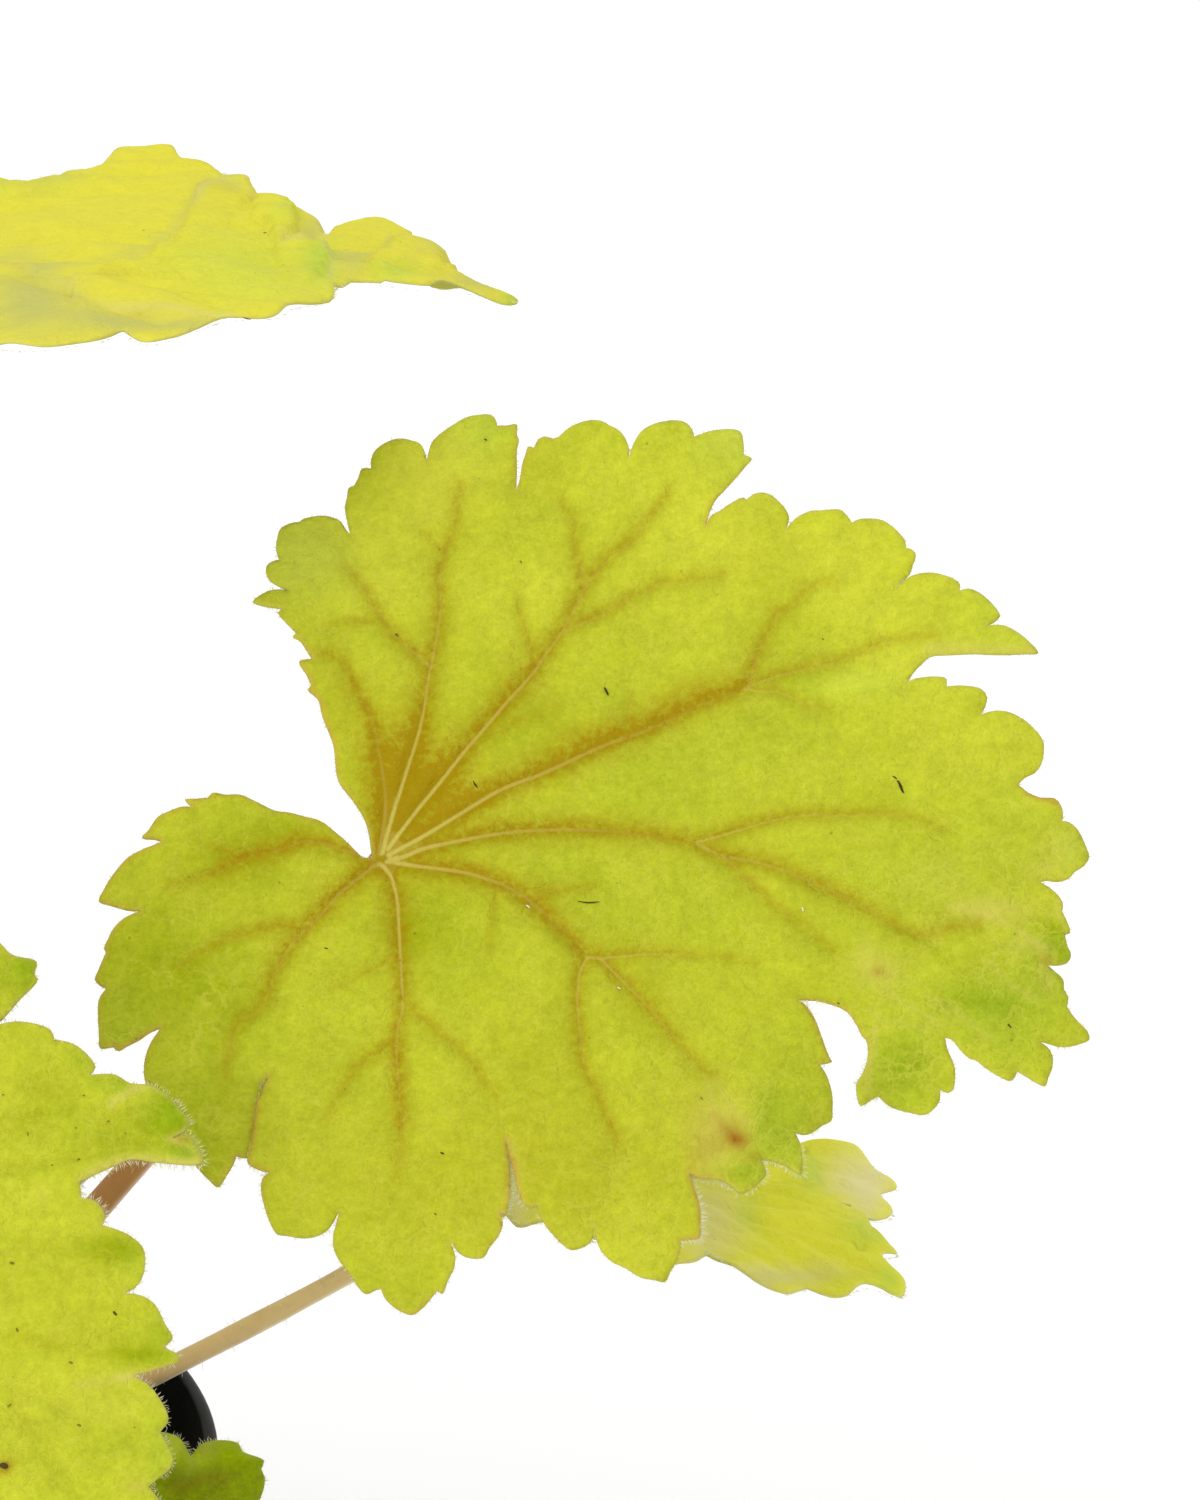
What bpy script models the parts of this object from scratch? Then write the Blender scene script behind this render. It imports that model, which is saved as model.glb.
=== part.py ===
"""Heuchera plant in a round nursery pot: the pot, its soil, the woody crown and seventeen leaves.

Metres, +Z up. The origin is the centre of the pot's underside, and the plant's front faces -Y.
Leaf outlines and positions are written in millimetres, and MM turns them into metres.
Each leaf is one piece: a lobed, toothed, waved blade fused to its stalk, which stands in a hole in the soil.
"""

import math
import random

import bmesh
import bpy
from mathutils import Matrix, Vector
from mathutils.geometry import delaunay_2d_cdt

MM = 0.001
GAP = 0.35
MERGE = 0.02

# Pot: a 12 cm round nursery pot, thin walled, with a rim band that stands out, and drain holes.
POT_RIM_RADIUS = 60.0
POT_HEIGHT = 100.0
POT_BASE_RADIUS = 42.0
POT_BODY_TOP_RADIUS = 55.6
POT_WALL = 1.6
RIM_BAND_BOTTOM = 87.0
RIM_TAPER = 0.8
RIM_EDGE = 0.6
BASE_EDGE = 2.0
FLOOR_THICKNESS = 2.0
FLOOR_EDGE = 1.5
POT_SEGMENTS = 40
DRAIN_HOLES = 8
DRAIN_RADIUS = 4.5
DRAIN_RING_RADIUS = 31.0

# Soil and crown
SOIL_LEVEL = 86.0
SOIL_BUMP = 1.2
SOIL_SEGMENTS = 28
SOIL_RINGS = (24.0, 31.0, 38.0, 45.0, 49.5)
SOIL_FLAT_RADIUS = 22.0
SOIL_CORNER = 2.0
SOIL_SHOULDER = 2.0
SOIL_CLEARANCE = 0.6
STALK_HOLE_DEPTH = 8.0
STALK_CLEARANCE = 0.5
CROWN_RADIUS = 6.5
CROWN_CLEARANCE = 0.8
CROWN_WAIST = 0.6
CROWN_SHOULDER = 2.6
CROWN_TOP = 94.0
CROWN_SEGMENTS = 14
CUT_MARGIN = 4.0
INNER_RING = 12.5
OUTER_RING = 19.0

# Leaves
BLADE_THICKNESS = 0.8
STALK_FOOT_RADIUS = 1.7
STALK_SIDES_LEVEL = 1
STALK_STEPS = 12

# The line of sight of the plant's front view. Outlines of the leaves that face the front are
# written as they look from there, across and up in millimetres from each leaf's junction.
SIGHT_ELEVATION = math.radians(22.0)
SIGHT_DISTANCE = 800.0
SIGHT_RIGHT = Vector((1.0, 0.0, 0.0))
SIGHT_UP = Vector((0.0, math.sin(SIGHT_ELEVATION), math.cos(SIGHT_ELEVATION)))
SIGHT_BACK = Vector((0.0, -math.cos(SIGHT_ELEVATION), math.sin(SIGHT_ELEVATION)))
LARGE_JUNCTION = Vector((79.0, -30.0, 182.0))
EYE = LARGE_JUNCTION + SIGHT_RIGHT * 22.0 + SIGHT_UP * 11.2 + SIGHT_BACK * SIGHT_DISTANCE

# Large leaf: its outline clockwise from the junction, one row for each lobe.
LARGE_OUTLINE = (
    (-0.8, 0.4), (-1.2, 3.2), (-4.2, 8.2), (-4.7, 11.7), (-6.2, 16.2), (-7.2, 17.2), (-6.9, 17.7),
    (-8.1, 20.0), (-6.9, 20.3), (-8.7, 22.5), (-8.4, 22.9), (-10.2, 24.9), (-9.8, 25.3), (-12.7, 26.0),
    (-11.0, 27.1), (-9.0, 27.1), (-11.3, 28.6), (-10.1, 30.2), (-10.3, 32.2), (-9.5, 33.6), (-7.8, 34.2),
    (-5.8, 34.6), (-3.9, 34.0), (-3.0, 32.8),
    (-3.5, 35.4), (-3.1, 37.4), (-2.6, 37.6), (-1.8, 39.3), (-0.9, 39.3), (-0.4, 41.2), (2.2, 42.3),
    (4.0, 41.8), (4.7, 40.2), (6.2, 42.9), (8.8, 44.5), (11.0, 44.7), (11.7, 43.6), (13.7, 43.7), (13.6, 37.1),
    (14.8, 41.5), (15.4, 41.4), (16.3, 42.5), (17.3, 42.3), (20.8, 44.1), (22.0, 44.1), (23.9, 43.1),
    (24.9, 40.3), (26.1, 43.0), (28.3, 44.0), (29.8, 44.1), (31.4, 42.5), (33.2, 43.1), (35.5, 43.2),
    (36.4, 40.7), (37.2, 40.3), (33.6, 36.2), (32.6, 33.5),
    (36.3, 36.4), (36.7, 36.2), (38.2, 36.9), (39.0, 36.7), (40.7, 35.0), (40.6, 33.2), (41.8, 34.5),
    (43.3, 35.1), (46.0, 35.2), (47.2, 33.9), (50.0, 34.2), (51.9, 32.9), (53.6, 30.6), (51.7, 27.6),
    (54.8, 28.9), (57.5, 28.2), (58.0, 27.1), (59.7, 27.0), (62.0, 24.6), (60.7, 23.6), (62.7, 23.5),
    (65.8, 20.9), (55.0, 20.5), (52.7, 17.9),
    (56.6, 18.3), (56.7, 17.5), (59.2, 17.5), (60.7, 16.4), (60.1, 14.7), (63.0, 14.9), (65.3, 13.4),
    (66.3, 12.1), (66.1, 9.7), (63.8, 7.7), (67.5, 6.3), (68.2, 4.1), (69.6, 3.4), (70.9, 0.5), (68.8, -1.7),
    (66.0, -2.0),
    (68.3, -4.3), (68.2, -5.0), (69.0, -7.1), (68.5, -7.3), (69.1, -9.3), (66.7, -10.3), (68.3, -11.8),
    (68.7, -14.5), (70.9, -17.8), (68.8, -18.5), (66.0, -18.0), (67.2, -20.6), (66.5, -22.4), (63.7, -20.9),
    (63.0, -21.9), (59.0, -19.7), (56.5, -17.6), (57.5, -20.8), (56.7, -23.1), (56.0, -23.8), (54.5, -25.3),
    (51.5, -24.7), (49.8, -23.4), (48.1, -24.4), (47.7, -22.1), (48.7, -20.0), (48.6, -17.8), (46.9, -15.2),
    (46.0, -14.6), (42.0, -13.9),
    (43.5, -15.8), (45.2, -20.0), (43.9, -20.3), (44.9, -22.1), (45.1, -25.9), (43.2, -27.1), (41.5, -27.1),
    (42.2, -29.6), (42.1, -31.3), (40.5, -30.3), (38.1, -29.8), (38.6, -31.3), (36.0, -33.2), (34.2, -31.9),
    (30.9, -31.1),
    (32.1, -34.8), (32.0, -37.6), (30.1, -37.9), (29.6, -40.1), (28.5, -42.0), (26.0, -41.5), (22.2, -39.0),
    (21.4, -36.5), (19.1, -38.8), (16.5, -36.3), (15.8, -34.4), (14.3, -34.1), (12.6, -27.8),
    (13.0, -31.8), (12.5, -35.3), (11.9, -37.3), (10.4, -39.5), (8.0, -39.2), (7.1, -38.1), (7.4, -40.6),
    (6.2, -43.2), (5.7, -42.9), (3.2, -45.3), (1.0, -44.2), (-1.4, -43.2), (-4.6, -38.8), (-4.1, -35.0),
    (-6.5, -37.5), (-10.3, -37.2), (-11.9, -32.8), (-11.1, -31.0), (-13.0, -30.1), (-12.1, -23.8),
    (-11.0, -21.4),
    (-12.6, -21.9), (-13.3, -23.8), (-14.1, -29.4), (-14.9, -29.4), (-16.2, -32.5), (-20.0, -28.8),
    (-22.8, -24.3), (-23.6, -21.3), (-23.5, -19.8), (-21.9, -16.6),
    (-26.2, -18.9), (-28.0, -18.6), (-28.1, -13.8), (-27.4, -12.7), (-28.5, -11.8), (-27.6, -8.7),
    (-25.8, -5.8), (-23.8, -4.9),
    (-28.1, -4.0), (-26.9, -1.6), (-25.1, 0.5), (-21.8, 2.0), (-23.8, 2.4), (-22.2, 4.5), (-18.8, 5.5),
    (-19.5, 6.2), (-17.2, 6.4), (-14.0, 6.7), (-10.5, 5.1), (-6.0, 4.1), (-1.8, 0.5),
)

# Lower left leaf, seen nearly square on. Its right edge is read from the front view.
FRONT_JUNCTION = Vector((14.6, -75.0, 162.0))
FRONT_OUTLINE = (
    (-1.5, 1.0), (-6.0, 7.0), (-13.0, 13.5), (-14.5, 18.0), (-12.0, 21.5), (-13.0, 25.0), (-9.0, 28.0),
    (-8.0, 32.0), (-3.0, 33.5), (-1.0, 31.0),
    (1.0, 36.0), (5.0, 39.0), (9.0, 38.5), (11.0, 41.0), (16.0, 41.5), (18.5, 38.5), (20.0, 33.0),
    (23.0, 36.5), (26.0, 34.5), (26.5, 30.5), (29.0, 28.1), (30.1, 27.0), (32.5, 26.3), (32.3, 25.1),
    (32.6, 24.6), (30.9, 22.7), (29.0, 20.6), (28.2, 20.2), (30.9, 20.6), (33.8, 19.8), (34.2, 18.9),
    (36.1, 18.4), (37.8, 16.9), (38.1, 16.2), (37.6, 15.5), (40.0, 15.5), (41.4, 14.7), (43.3, 14.5),
    (44.8, 13.6), (46.2, 12.2), (47.2, 11.0), (46.9, 9.8), (47.8, 8.8), (48.3, 7.1), (44.3, 7.1),
    (41.4, 7.4), (39.5, 6.6), (36.6, 5.3), (36.8, 3.7), (38.1, 3.4), (39.0, 2.1), (38.8, 1.1),
    (41.2, 0.2), (42.7, -1.2), (42.7, -3.6), (41.9, -4.9), (40.9, -5.4), (42.4, -5.6), (43.8, -6.5),
    (44.8, -8.4), (45.5, -9.7), (44.7, -10.6), (45.7, -11.1), (46.2, -11.8), (44.8, -12.4),
    (41.8, -13.3), (43.2, -14.2), (44.0, -15.1), (45.1, -17.5), (44.3, -18.7), (45.2, -20.3),
    (45.5, -21.7), (43.2, -23.9), (44.2, -25.2),
    (45.0, -26.5), (44.0, -31.0), (40.5, -33.0), (41.0, -36.5), (37.0, -38.5), (32.0, -36.0),
    (32.0, -40.0), (29.0, -44.5), (24.0, -45.5), (20.0, -42.0), (17.0, -46.5), (12.0, -47.0), (8.5, -42.5),
    (6.0, -45.5), (1.0, -45.0), (-2.0, -40.0), (-5.0, -42.0), (-9.5, -40.0), (-11.0, -33.0),
    (-14.5, -35.0), (-19.0, -32.0), (-20.0, -27.0), (-24.0, -26.5), (-27.0, -21.5), (-25.5, -16.0),
    (-28.0, -13.0), (-28.0, -7.5), (-24.0, -4.0), (-24.5, 0.0), (-20.0, 3.0), (-14.0, 3.0), (-9.0, 3.0),
    (-3.0, 0.5),
)

# Small low leaf at the right front of the rim
LOW_JUNCTION = Vector((46.0, -45.0, 106.5))
LOW_OUTLINE = (
    (-0.8, 0.8), (-3.5, 4.5), (-6.5, 8.5), (-8.0, 12.0), (-5.5, 14.5), (-5.0, 17.5), (-0.5, 18.5), (0.5, 16.0),
    (2.5, 19.5), (6.5, 20.0), (8.0, 16.8), (10.5, 17.3), (12.2, 16.7), (13.3, 14.9),
    (14.8, 16.3), (18.2, 16.2), (18.6, 15.4), (20.8, 14.4), (20.5, 13.6), (20.9, 12.7), (20.2, 10.2), (18.0, 7.5),
    (22.0, 6.5), (24.0, 3.5), (22.8, 1.5), (24.5, -1.0), (22.5, -4.0), (19.0, -4.5),
    (21.0, -8.0), (19.0, -12.0), (16.0, -12.0), (14.0, -15.0), (10.0, -14.5), (8.5, -12.0),
    (6.0, -16.0), (2.0, -16.0), (0.0, -13.0), (-4.0, -14.0), (-6.5, -11.5), (-7.0, -8.5), (-10.5, -7.5),
    (-11.0, -4.0), (-9.0, -1.5), (-10.5, 1.5), (-7.5, 3.5), (-3.0, 0.2),
)

# High leaf, seen almost edge on: its outline is written across and away from the front.
HIGH_JUNCTION = Vector((5.3, 15.0, 226.0))
HIGH_OUTLINE = (
    (-1.0, 0.5), (-6.0, 6.0), (-13.0, 13.0), (-17.0, 19.0), (-15.5, 23.0), (-17.0, 27.0), (-12.0, 31.0),
    (-8.0, 30.0), (-6.0, 34.5), (0.0, 36.5), (3.5, 33.5),
    (7.0, 40.0), (13.0, 43.5), (16.5, 40.5), (21.0, 45.5), (27.0, 45.0), (30.0, 38.0), (32.0, 31.0),
    (36.0, 31.5), (41.0, 35.5), (44.0, 39.0), (46.5, 46.0), (51.0, 46.5), (52.8, 41.0), (56.0, 37.5),
    (58.0, 33.0), (60.2, 28.0), (60.8, 26.5), (63.5, 25.0), (66.3, 20.0), (67.5, 14.0),
    (69.5, 22.0), (73.0, 26.0), (76.0, 23.5), (76.5, 17.5), (79.8, 14.0), (81.0, 6.0), (84.5, 4.0), (87.2, -0.5),
    (83.0, -3.0), (79.5, -4.0), (78.0, -7.0), (73.5, -8.5), (70.0, -9.5),
    (68.4, -15.0), (68.2, -19.5), (66.6, -24.0), (64.0, -28.0), (62.0, -33.5), (57.0, -35.0), (54.0, -38.0),
    (49.0, -41.5), (46.5, -38.0), (43.0, -42.0), (37.0, -44.5), (33.0, -41.0), (28.0, -42.5), (22.0, -41.0),
    (19.5, -34.0), (15.0, -38.0), (9.0, -38.0), (6.0, -34.0), (0.0, -34.0), (-4.0, -29.0), (-9.0, -29.5),
    (-12.0, -25.0), (-12.5, -19.0), (-17.0, -16.5), (-17.0, -10.5), (-12.0, -6.0), (-6.0, -3.0), (-2.0, -1.0),
)

# Rear right leaf, low behind the large one and seen almost edge on
REAR_JUNCTION = Vector((90.0, 40.0, 116.0))
REAR_OUTLINE = (
    (-0.8, 0.6), (-5.0, 5.0), (-10.0, 9.0), (-12.5, 14.0), (-10.0, 18.0), (-10.0, 22.0), (-5.0, 24.5), (-2.0, 23.0),
    (1.0, 27.5), (6.0, 28.5), (8.5, 26.0), (12.0, 30.0), (17.0, 29.5), (19.0, 25.5),
    (22.5, 29.0), (27.5, 28.0), (29.5, 24.5), (31.5, 22.0), (34.5, 26.0), (39.0, 26.0), (41.5, 22.0),
    (44.0, 18.5), (42.2, 15.0), (43.5, 10.0), (41.8, 5.5), (37.5, 3.0),
    (42.0, 1.0), (44.0, -4.0), (42.4, -8.0), (44.8, -13.0), (44.0, -19.5), (40.8, -20.0),
    (38.0, -24.0), (34.0, -24.0), (31.0, -27.5), (26.0, -27.0), (23.0, -23.5),
    (20.5, -28.0), (15.0, -29.0), (12.0, -26.0), (8.0, -28.5), (3.0, -27.0), (0.5, -22.5), (-4.5, -23.0),
    (-8.0, -19.0), (-8.0, -15.0), (-12.0, -12.0), (-11.0, -7.0), (-7.0, -4.0), (-2.0, -0.8),
)

# Stalks of the leaves above: angle and ring of the foot, the two points that bend the stalk, and its
# radius at the blade.
FRONT_STALKS = {
    "leaf_01": (-20.0, INNER_RING, (24.0, -9.0, 105.5), (59.5, -22.0, 150.5), 1.4),
    "leaf_02": (10.0, INNER_RING, (13.0, 4.0, 140.0), (-10.0, 14.0, 190.0), 1.3),
    "leaf_03": (-60.0, INNER_RING, (9.0, -22.0, 112.0), (11.0, -52.0, 140.0), 1.3),
    "leaf_04": (20.0, OUTER_RING, (42.0, 8.0, 100.8), (68.0, 18.0, 107.9), 1.0),
    "leaf_05": (-25.0, OUTER_RING, (28.0, -18.0, 106.0), (37.0, -32.0, 110.0), 0.9),
}

# The other leaves: angle and ring of the stalk's foot, angle of the junction round the crown, reach and
# height of the junction, pitch of the blade, turn of its midrib, length, upward bow of the stalk, seed.
OTHER_LEAVES = {
    "leaf_06": (45.0, INNER_RING, 32.0, 117.0, 143.0, -8.0, 0.0, 28.0, 0.18, 6),
    "leaf_07": (-60.0, OUTER_RING, -68.0, 96.0, 94.0, -34.0, 0.0, 37.0, 0.44, 7),
    "leaf_08": (-100.0, OUTER_RING, -112.0, 78.0, 105.0, -34.0, -2.0, 36.0, 0.34, 8),
    "leaf_09": (-140.0, OUTER_RING, -138.0, 92.0, 118.0, -24.0, 0.0, 44.0, 0.26, 9),
    "leaf_10": (-180.0, INNER_RING, -168.0, 76.0, 160.0, -14.0, 0.0, 48.0, 0.24, 10),
    "leaf_11": (140.0, OUTER_RING, 158.0, 98.0, 112.0, -24.0, 0.0, 46.0, 0.28, 11),
    "leaf_12": (135.0, INNER_RING, 128.0, 74.0, 168.0, -12.0, 0.0, 46.0, 0.24, 12),
    "leaf_13": (100.0, OUTER_RING, 98.0, 92.0, 124.0, -24.0, 4.0, 40.0, 0.26, 13),
    "leaf_14": (-135.0, INNER_RING, -140.0, 44.0, 196.0, -6.0, 0.0, 44.0, 0.24, 14),
    "leaf_15": (180.0, OUTER_RING, -168.0, 104.0, 98.0, -34.0, 6.0, 38.0, 0.36, 15),
    "leaf_16": (90.0, INNER_RING, 78.0, 32.0, 142.0, 20.0, 0.0, 24.0, 0.24, 16),
    "leaf_17": (-90.0, INNER_RING, -80.0, 22.0, 126.0, 42.0, 0.0, 17.0, 0.24, 17),
}


def make_material(name, colour, roughness):
    """A plain Principled material."""
    material = bpy.data.materials.new(name)
    material.use_nodes = True
    shader = material.node_tree.nodes["Principled BSDF"]
    shader.inputs["Base Color"].default_value = (*colour, 1.0)
    shader.inputs["Roughness"].default_value = roughness
    shader.inputs["Metallic"].default_value = 0.0
    return material


def clear_scene():
    for old in list(bpy.data.objects):
        bpy.data.objects.remove(old)


def add_object(name, mesh, material=None):
    """A scene object from a mesh."""
    obj = bpy.data.objects.new(name, mesh)
    bpy.context.scene.collection.objects.link(obj)
    if material:
        mesh.materials.append(material)
    return obj


def shade(obj, sharp_degrees):
    """Shades smooth, except over edges sharper than the given angle."""
    obj.data.shade_smooth()
    obj.data.set_sharp_from_angle(angle=math.radians(sharp_degrees))


def mesh_from(bm, name):
    mesh = bpy.data.meshes.new(name)
    bmesh.ops.recalc_face_normals(bm, faces=bm.faces)
    bm.to_mesh(mesh)
    bm.free()
    return mesh


def turned(name, profile, segments):
    """A closed solid turned round Z from (radius, height) pairs, whose first and last lie on the axis."""
    bm = bmesh.new()
    rings = []
    for radius, height in profile:
        if radius == 0.0:
            rings.append([bm.verts.new((0.0, 0.0, height * MM))])
            continue
        ring = []
        for k in range(segments):
            angle = 2.0 * math.pi * k / segments
            ring.append(bm.verts.new((radius * MM * math.cos(angle), radius * MM * math.sin(angle), height * MM)))
        rings.append(ring)
    for low, high in zip(rings, rings[1:]):
        for k in range(segments):
            nxt = (k + 1) % segments
            if len(low) == 1:
                bm.faces.new((low[0], high[k], high[nxt]))
            elif len(high) == 1:
                bm.faces.new((low[k], low[nxt], high[0]))
            else:
                bm.faces.new((low[k], low[nxt], high[nxt], high[k]))
    return mesh_from(bm, name)


def apply_booleans(obj, cutters, operation):
    """Joins or cuts with EXACT Booleans, applies them, and removes the cutters."""
    for cutter in cutters:
        modifier = obj.modifiers.new(operation.title(), "BOOLEAN")
        modifier.operation = operation
        modifier.solver = "EXACT"
        modifier.object = cutter
    graph = bpy.context.evaluated_depsgraph_get()
    mesh = bpy.data.meshes.new_from_object(obj.evaluated_get(graph))
    obj.modifiers.clear()
    obj.data = mesh
    for cutter in cutters:
        bpy.data.objects.remove(cutter)


def tidy_mesh(obj):
    """Merges points that a Boolean leaves almost together, and splits the faces into triangles."""
    bm = bmesh.new()
    bm.from_mesh(obj.data)
    bmesh.ops.remove_doubles(bm, verts=bm.verts, dist=MERGE * MM)
    bmesh.ops.dissolve_degenerate(bm, edges=bm.edges, dist=MERGE * MM)
    bmesh.ops.triangulate(bm, faces=bm.faces)
    bm.to_mesh(obj.data)
    bm.free()


def pin(name, x, y, low, high, radius, sides=12):
    """An upright cylinder, used as a cutter."""
    bm = bmesh.new()
    bmesh.ops.create_cone(
        bm,
        cap_ends=True,
        segments=sides,
        radius1=radius * MM,
        radius2=radius * MM,
        depth=(high - low) * MM,
        matrix=Matrix.Translation(Vector((x, y, (low + high) / 2.0)) * MM),
    )
    return add_object(name, mesh_from(bm, name))


def make_pot(material):
    profile = (
        (0.0, 0.0),
        (POT_BASE_RADIUS - BASE_EDGE, 0.0),
        (POT_BASE_RADIUS, BASE_EDGE),
        (POT_BODY_TOP_RADIUS, RIM_BAND_BOTTOM),
        (POT_RIM_RADIUS - RIM_TAPER, RIM_BAND_BOTTOM + RIM_EDGE),
        (POT_RIM_RADIUS, POT_HEIGHT - RIM_EDGE),
        (POT_RIM_RADIUS - RIM_EDGE, POT_HEIGHT),
        (POT_RIM_RADIUS - POT_WALL, POT_HEIGHT),
        (POT_RIM_RADIUS - RIM_TAPER - POT_WALL, RIM_BAND_BOTTOM + RIM_EDGE + POT_WALL),
        (POT_BODY_TOP_RADIUS - POT_WALL, RIM_BAND_BOTTOM + POT_WALL),
        (POT_BASE_RADIUS - POT_WALL, FLOOR_THICKNESS + FLOOR_EDGE),
        (POT_BASE_RADIUS - POT_WALL - FLOOR_EDGE, FLOOR_THICKNESS),
        (0.0, FLOOR_THICKNESS),
    )
    pot = add_object("pot", turned("pot", profile, POT_SEGMENTS), material)
    holes = []
    for k in range(DRAIN_HOLES):
        angle = 2.0 * math.pi * (k + 0.5) / DRAIN_HOLES
        x, y = DRAIN_RING_RADIUS * math.cos(angle), DRAIN_RING_RADIUS * math.sin(angle)
        holes.append(pin(f"drain_{k}", x, y, -CUT_MARGIN, FLOOR_THICKNESS + CUT_MARGIN, DRAIN_RADIUS))
    apply_booleans(pot, holes, "DIFFERENCE")
    tidy_mesh(pot)
    shade(pot, 35.0)


def wall_inside(height):
    """Inner radius of the pot at a height, for the soil to fill."""
    low = FLOOR_THICKNESS + FLOOR_EDGE
    share = (height - low) / (RIM_BAND_BOTTOM + POT_WALL - low)
    return POT_BASE_RADIUS - POT_WALL + (POT_BODY_TOP_RADIUS - POT_BASE_RADIUS) * share


def make_soil(material, feet):
    """Soil that fills the pot to its level, lumpy on top, with a hole for the crown and for each stalk."""
    draw = random.Random(3)
    low = FLOOR_THICKNESS + GAP
    corner = low + SOIL_CORNER
    shoulder = SOIL_LEVEL - SOIL_SHOULDER
    profile = [
        (0.0, low),
        (wall_inside(corner) - SOIL_CLEARANCE - SOIL_CORNER, low),
        (wall_inside(corner) - SOIL_CLEARANCE, corner),
        (wall_inside(shoulder) - SOIL_CLEARANCE, shoulder),
    ]
    for radius in reversed(SOIL_RINGS):
        profile.append((radius, SOIL_LEVEL))
    profile.append((0.0, SOIL_LEVEL))
    mesh = turned("soil", profile, SOIL_SEGMENTS)
    for vertex in mesh.vertices:
        if vertex.co.z > (SOIL_LEVEL - 1.0) * MM and vertex.co.xy.length > SOIL_FLAT_RADIUS * MM:
            vertex.co.z += draw.uniform(-SOIL_BUMP, SOIL_BUMP) * MM
    soil = add_object("soil", mesh, material)
    bottom, top = SOIL_LEVEL - STALK_HOLE_DEPTH, SOIL_LEVEL + CUT_MARGIN
    holes = [pin("crown_hole", 0.0, 0.0, bottom, top, CROWN_RADIUS + CROWN_CLEARANCE)]
    for k, foot in enumerate(feet):
        holes.append(pin(f"hole_{k}", foot.x, foot.y, bottom, top, STALK_FOOT_RADIUS + STALK_CLEARANCE, 8))
    apply_booleans(soil, holes, "DIFFERENCE")
    tidy_mesh(soil)
    shade(soil, 35.0)


def make_crown(material):
    """The short woody crown: a knobbly stub that stands in its own hole in the soil."""
    foot = SOIL_LEVEL - STALK_HOLE_DEPTH + GAP
    profile = (
        (0.0, foot),
        (CROWN_RADIUS, foot),
        (CROWN_RADIUS, SOIL_LEVEL + 1.0),
        (CROWN_RADIUS + CROWN_WAIST, SOIL_LEVEL + 2.5),
        (CROWN_RADIUS - CROWN_WAIST, SOIL_LEVEL + 4.5),
        (CROWN_RADIUS - CROWN_SHOULDER, CROWN_TOP - CROWN_WAIST),
        (0.0, CROWN_TOP),
    )
    draw = random.Random(5)
    mesh = turned("crown", profile, CROWN_SEGMENTS)
    for vertex in mesh.vertices:
        if vertex.co.z > (SOIL_LEVEL + 1.0) * MM:
            vertex.co += Vector([draw.uniform(-0.55, 0.35) * MM for _ in range(3)])
    shade(add_object("crown", mesh, material), 35.0)


def inside(point, outline):
    """Whether a point lies within a closed outline."""
    x, y = point
    found = False
    for (x0, y0), (x1, y1) in zip(outline, outline[1:] + outline[:1]):
        if (y0 > y) != (y1 > y) and x < x0 + (x1 - x0) * (y - y0) / (y1 - y0):
            found = not found
    return found


def edge_distance(point, outline):
    """Distance from a point to the nearest edge of a closed outline."""
    spot = Vector(point)
    best = 1e9
    for start, end in zip(outline, outline[1:] + outline[:1]):
        a, b = Vector(start), Vector(end)
        run = b - a
        share = max(0.0, min(1.0, (spot - a).dot(run) / max(run.length_squared, 1e-9)))
        best = min(best, (spot - a - run * share).length)
    return best


def blade_mesh(name, outline, place, spacing):
    """A thin waved blade, split into triangles alike on both faces.

    place(p, q) gives the middle of the blade's thickness and the direction of that thickness.
    """
    outline = [tuple(point) for point in outline]
    points = list(outline)
    low_p, high_p = min(p for p, _ in outline), max(p for p, _ in outline)
    low_q, high_q = min(q for _, q in outline), max(q for _, q in outline)
    row = 0
    q = low_q
    while q < high_q:
        p = low_p + (spacing / 2.0 if row % 2 else 0.0)
        while p < high_p:
            if inside((p, q), outline) and edge_distance((p, q), outline) > spacing * 0.42:
                points.append((p, q))
            p += spacing
        q += spacing * math.sqrt(3.0) / 2.0
        row += 1
    flat = [Vector(point) for point in points]
    verts, _, faces, _, _, _ = delaunay_2d_cdt(flat, [], [list(range(len(outline)))], 1, 1e-5)
    bm = bmesh.new()
    tops, bottoms = [], []
    for vert in verts:
        middle, along = place(vert.x, vert.y)
        half = along * (BLADE_THICKNESS / 2.0)
        tops.append(bm.verts.new((middle + half) * MM))
        bottoms.append(bm.verts.new((middle - half) * MM))
    sides = {}
    for face in faces:
        bm.faces.new([tops[k] for k in face])
        bm.faces.new([bottoms[k] for k in reversed(face)])
        for start, end in zip(face, list(face[1:]) + [face[0]]):
            if (end, start) in sides:
                del sides[(end, start)]
            else:
                sides[(start, end)] = True
    for start, end in sides:
        bm.faces.new((tops[end], tops[start], bottoms[start], bottoms[end]))
    return mesh_from(bm, name)


def stalk_object(name, route, radii):
    """A tapering round stalk along a route of points, as a closed mesh."""
    data = bpy.data.curves.new(name, "CURVE")
    data.dimensions = "3D"
    data.bevel_depth = MM
    data.bevel_resolution = STALK_SIDES_LEVEL
    data.use_fill_caps = True
    spline = data.splines.new("POLY")
    spline.points.add(len(route) - 1)
    for point, spot, radius in zip(spline.points, route, radii):
        point.co = (*(spot * MM), 1.0)
        point.radius = radius
    curve = bpy.data.objects.new(name, data)
    bpy.context.scene.collection.objects.link(curve)
    graph = bpy.context.evaluated_depsgraph_get()
    mesh = bpy.data.meshes.new_from_object(curve.evaluated_get(graph))
    bpy.data.objects.remove(curve)
    obj = add_object(name, mesh)
    tidy_mesh(obj)
    return obj


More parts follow.
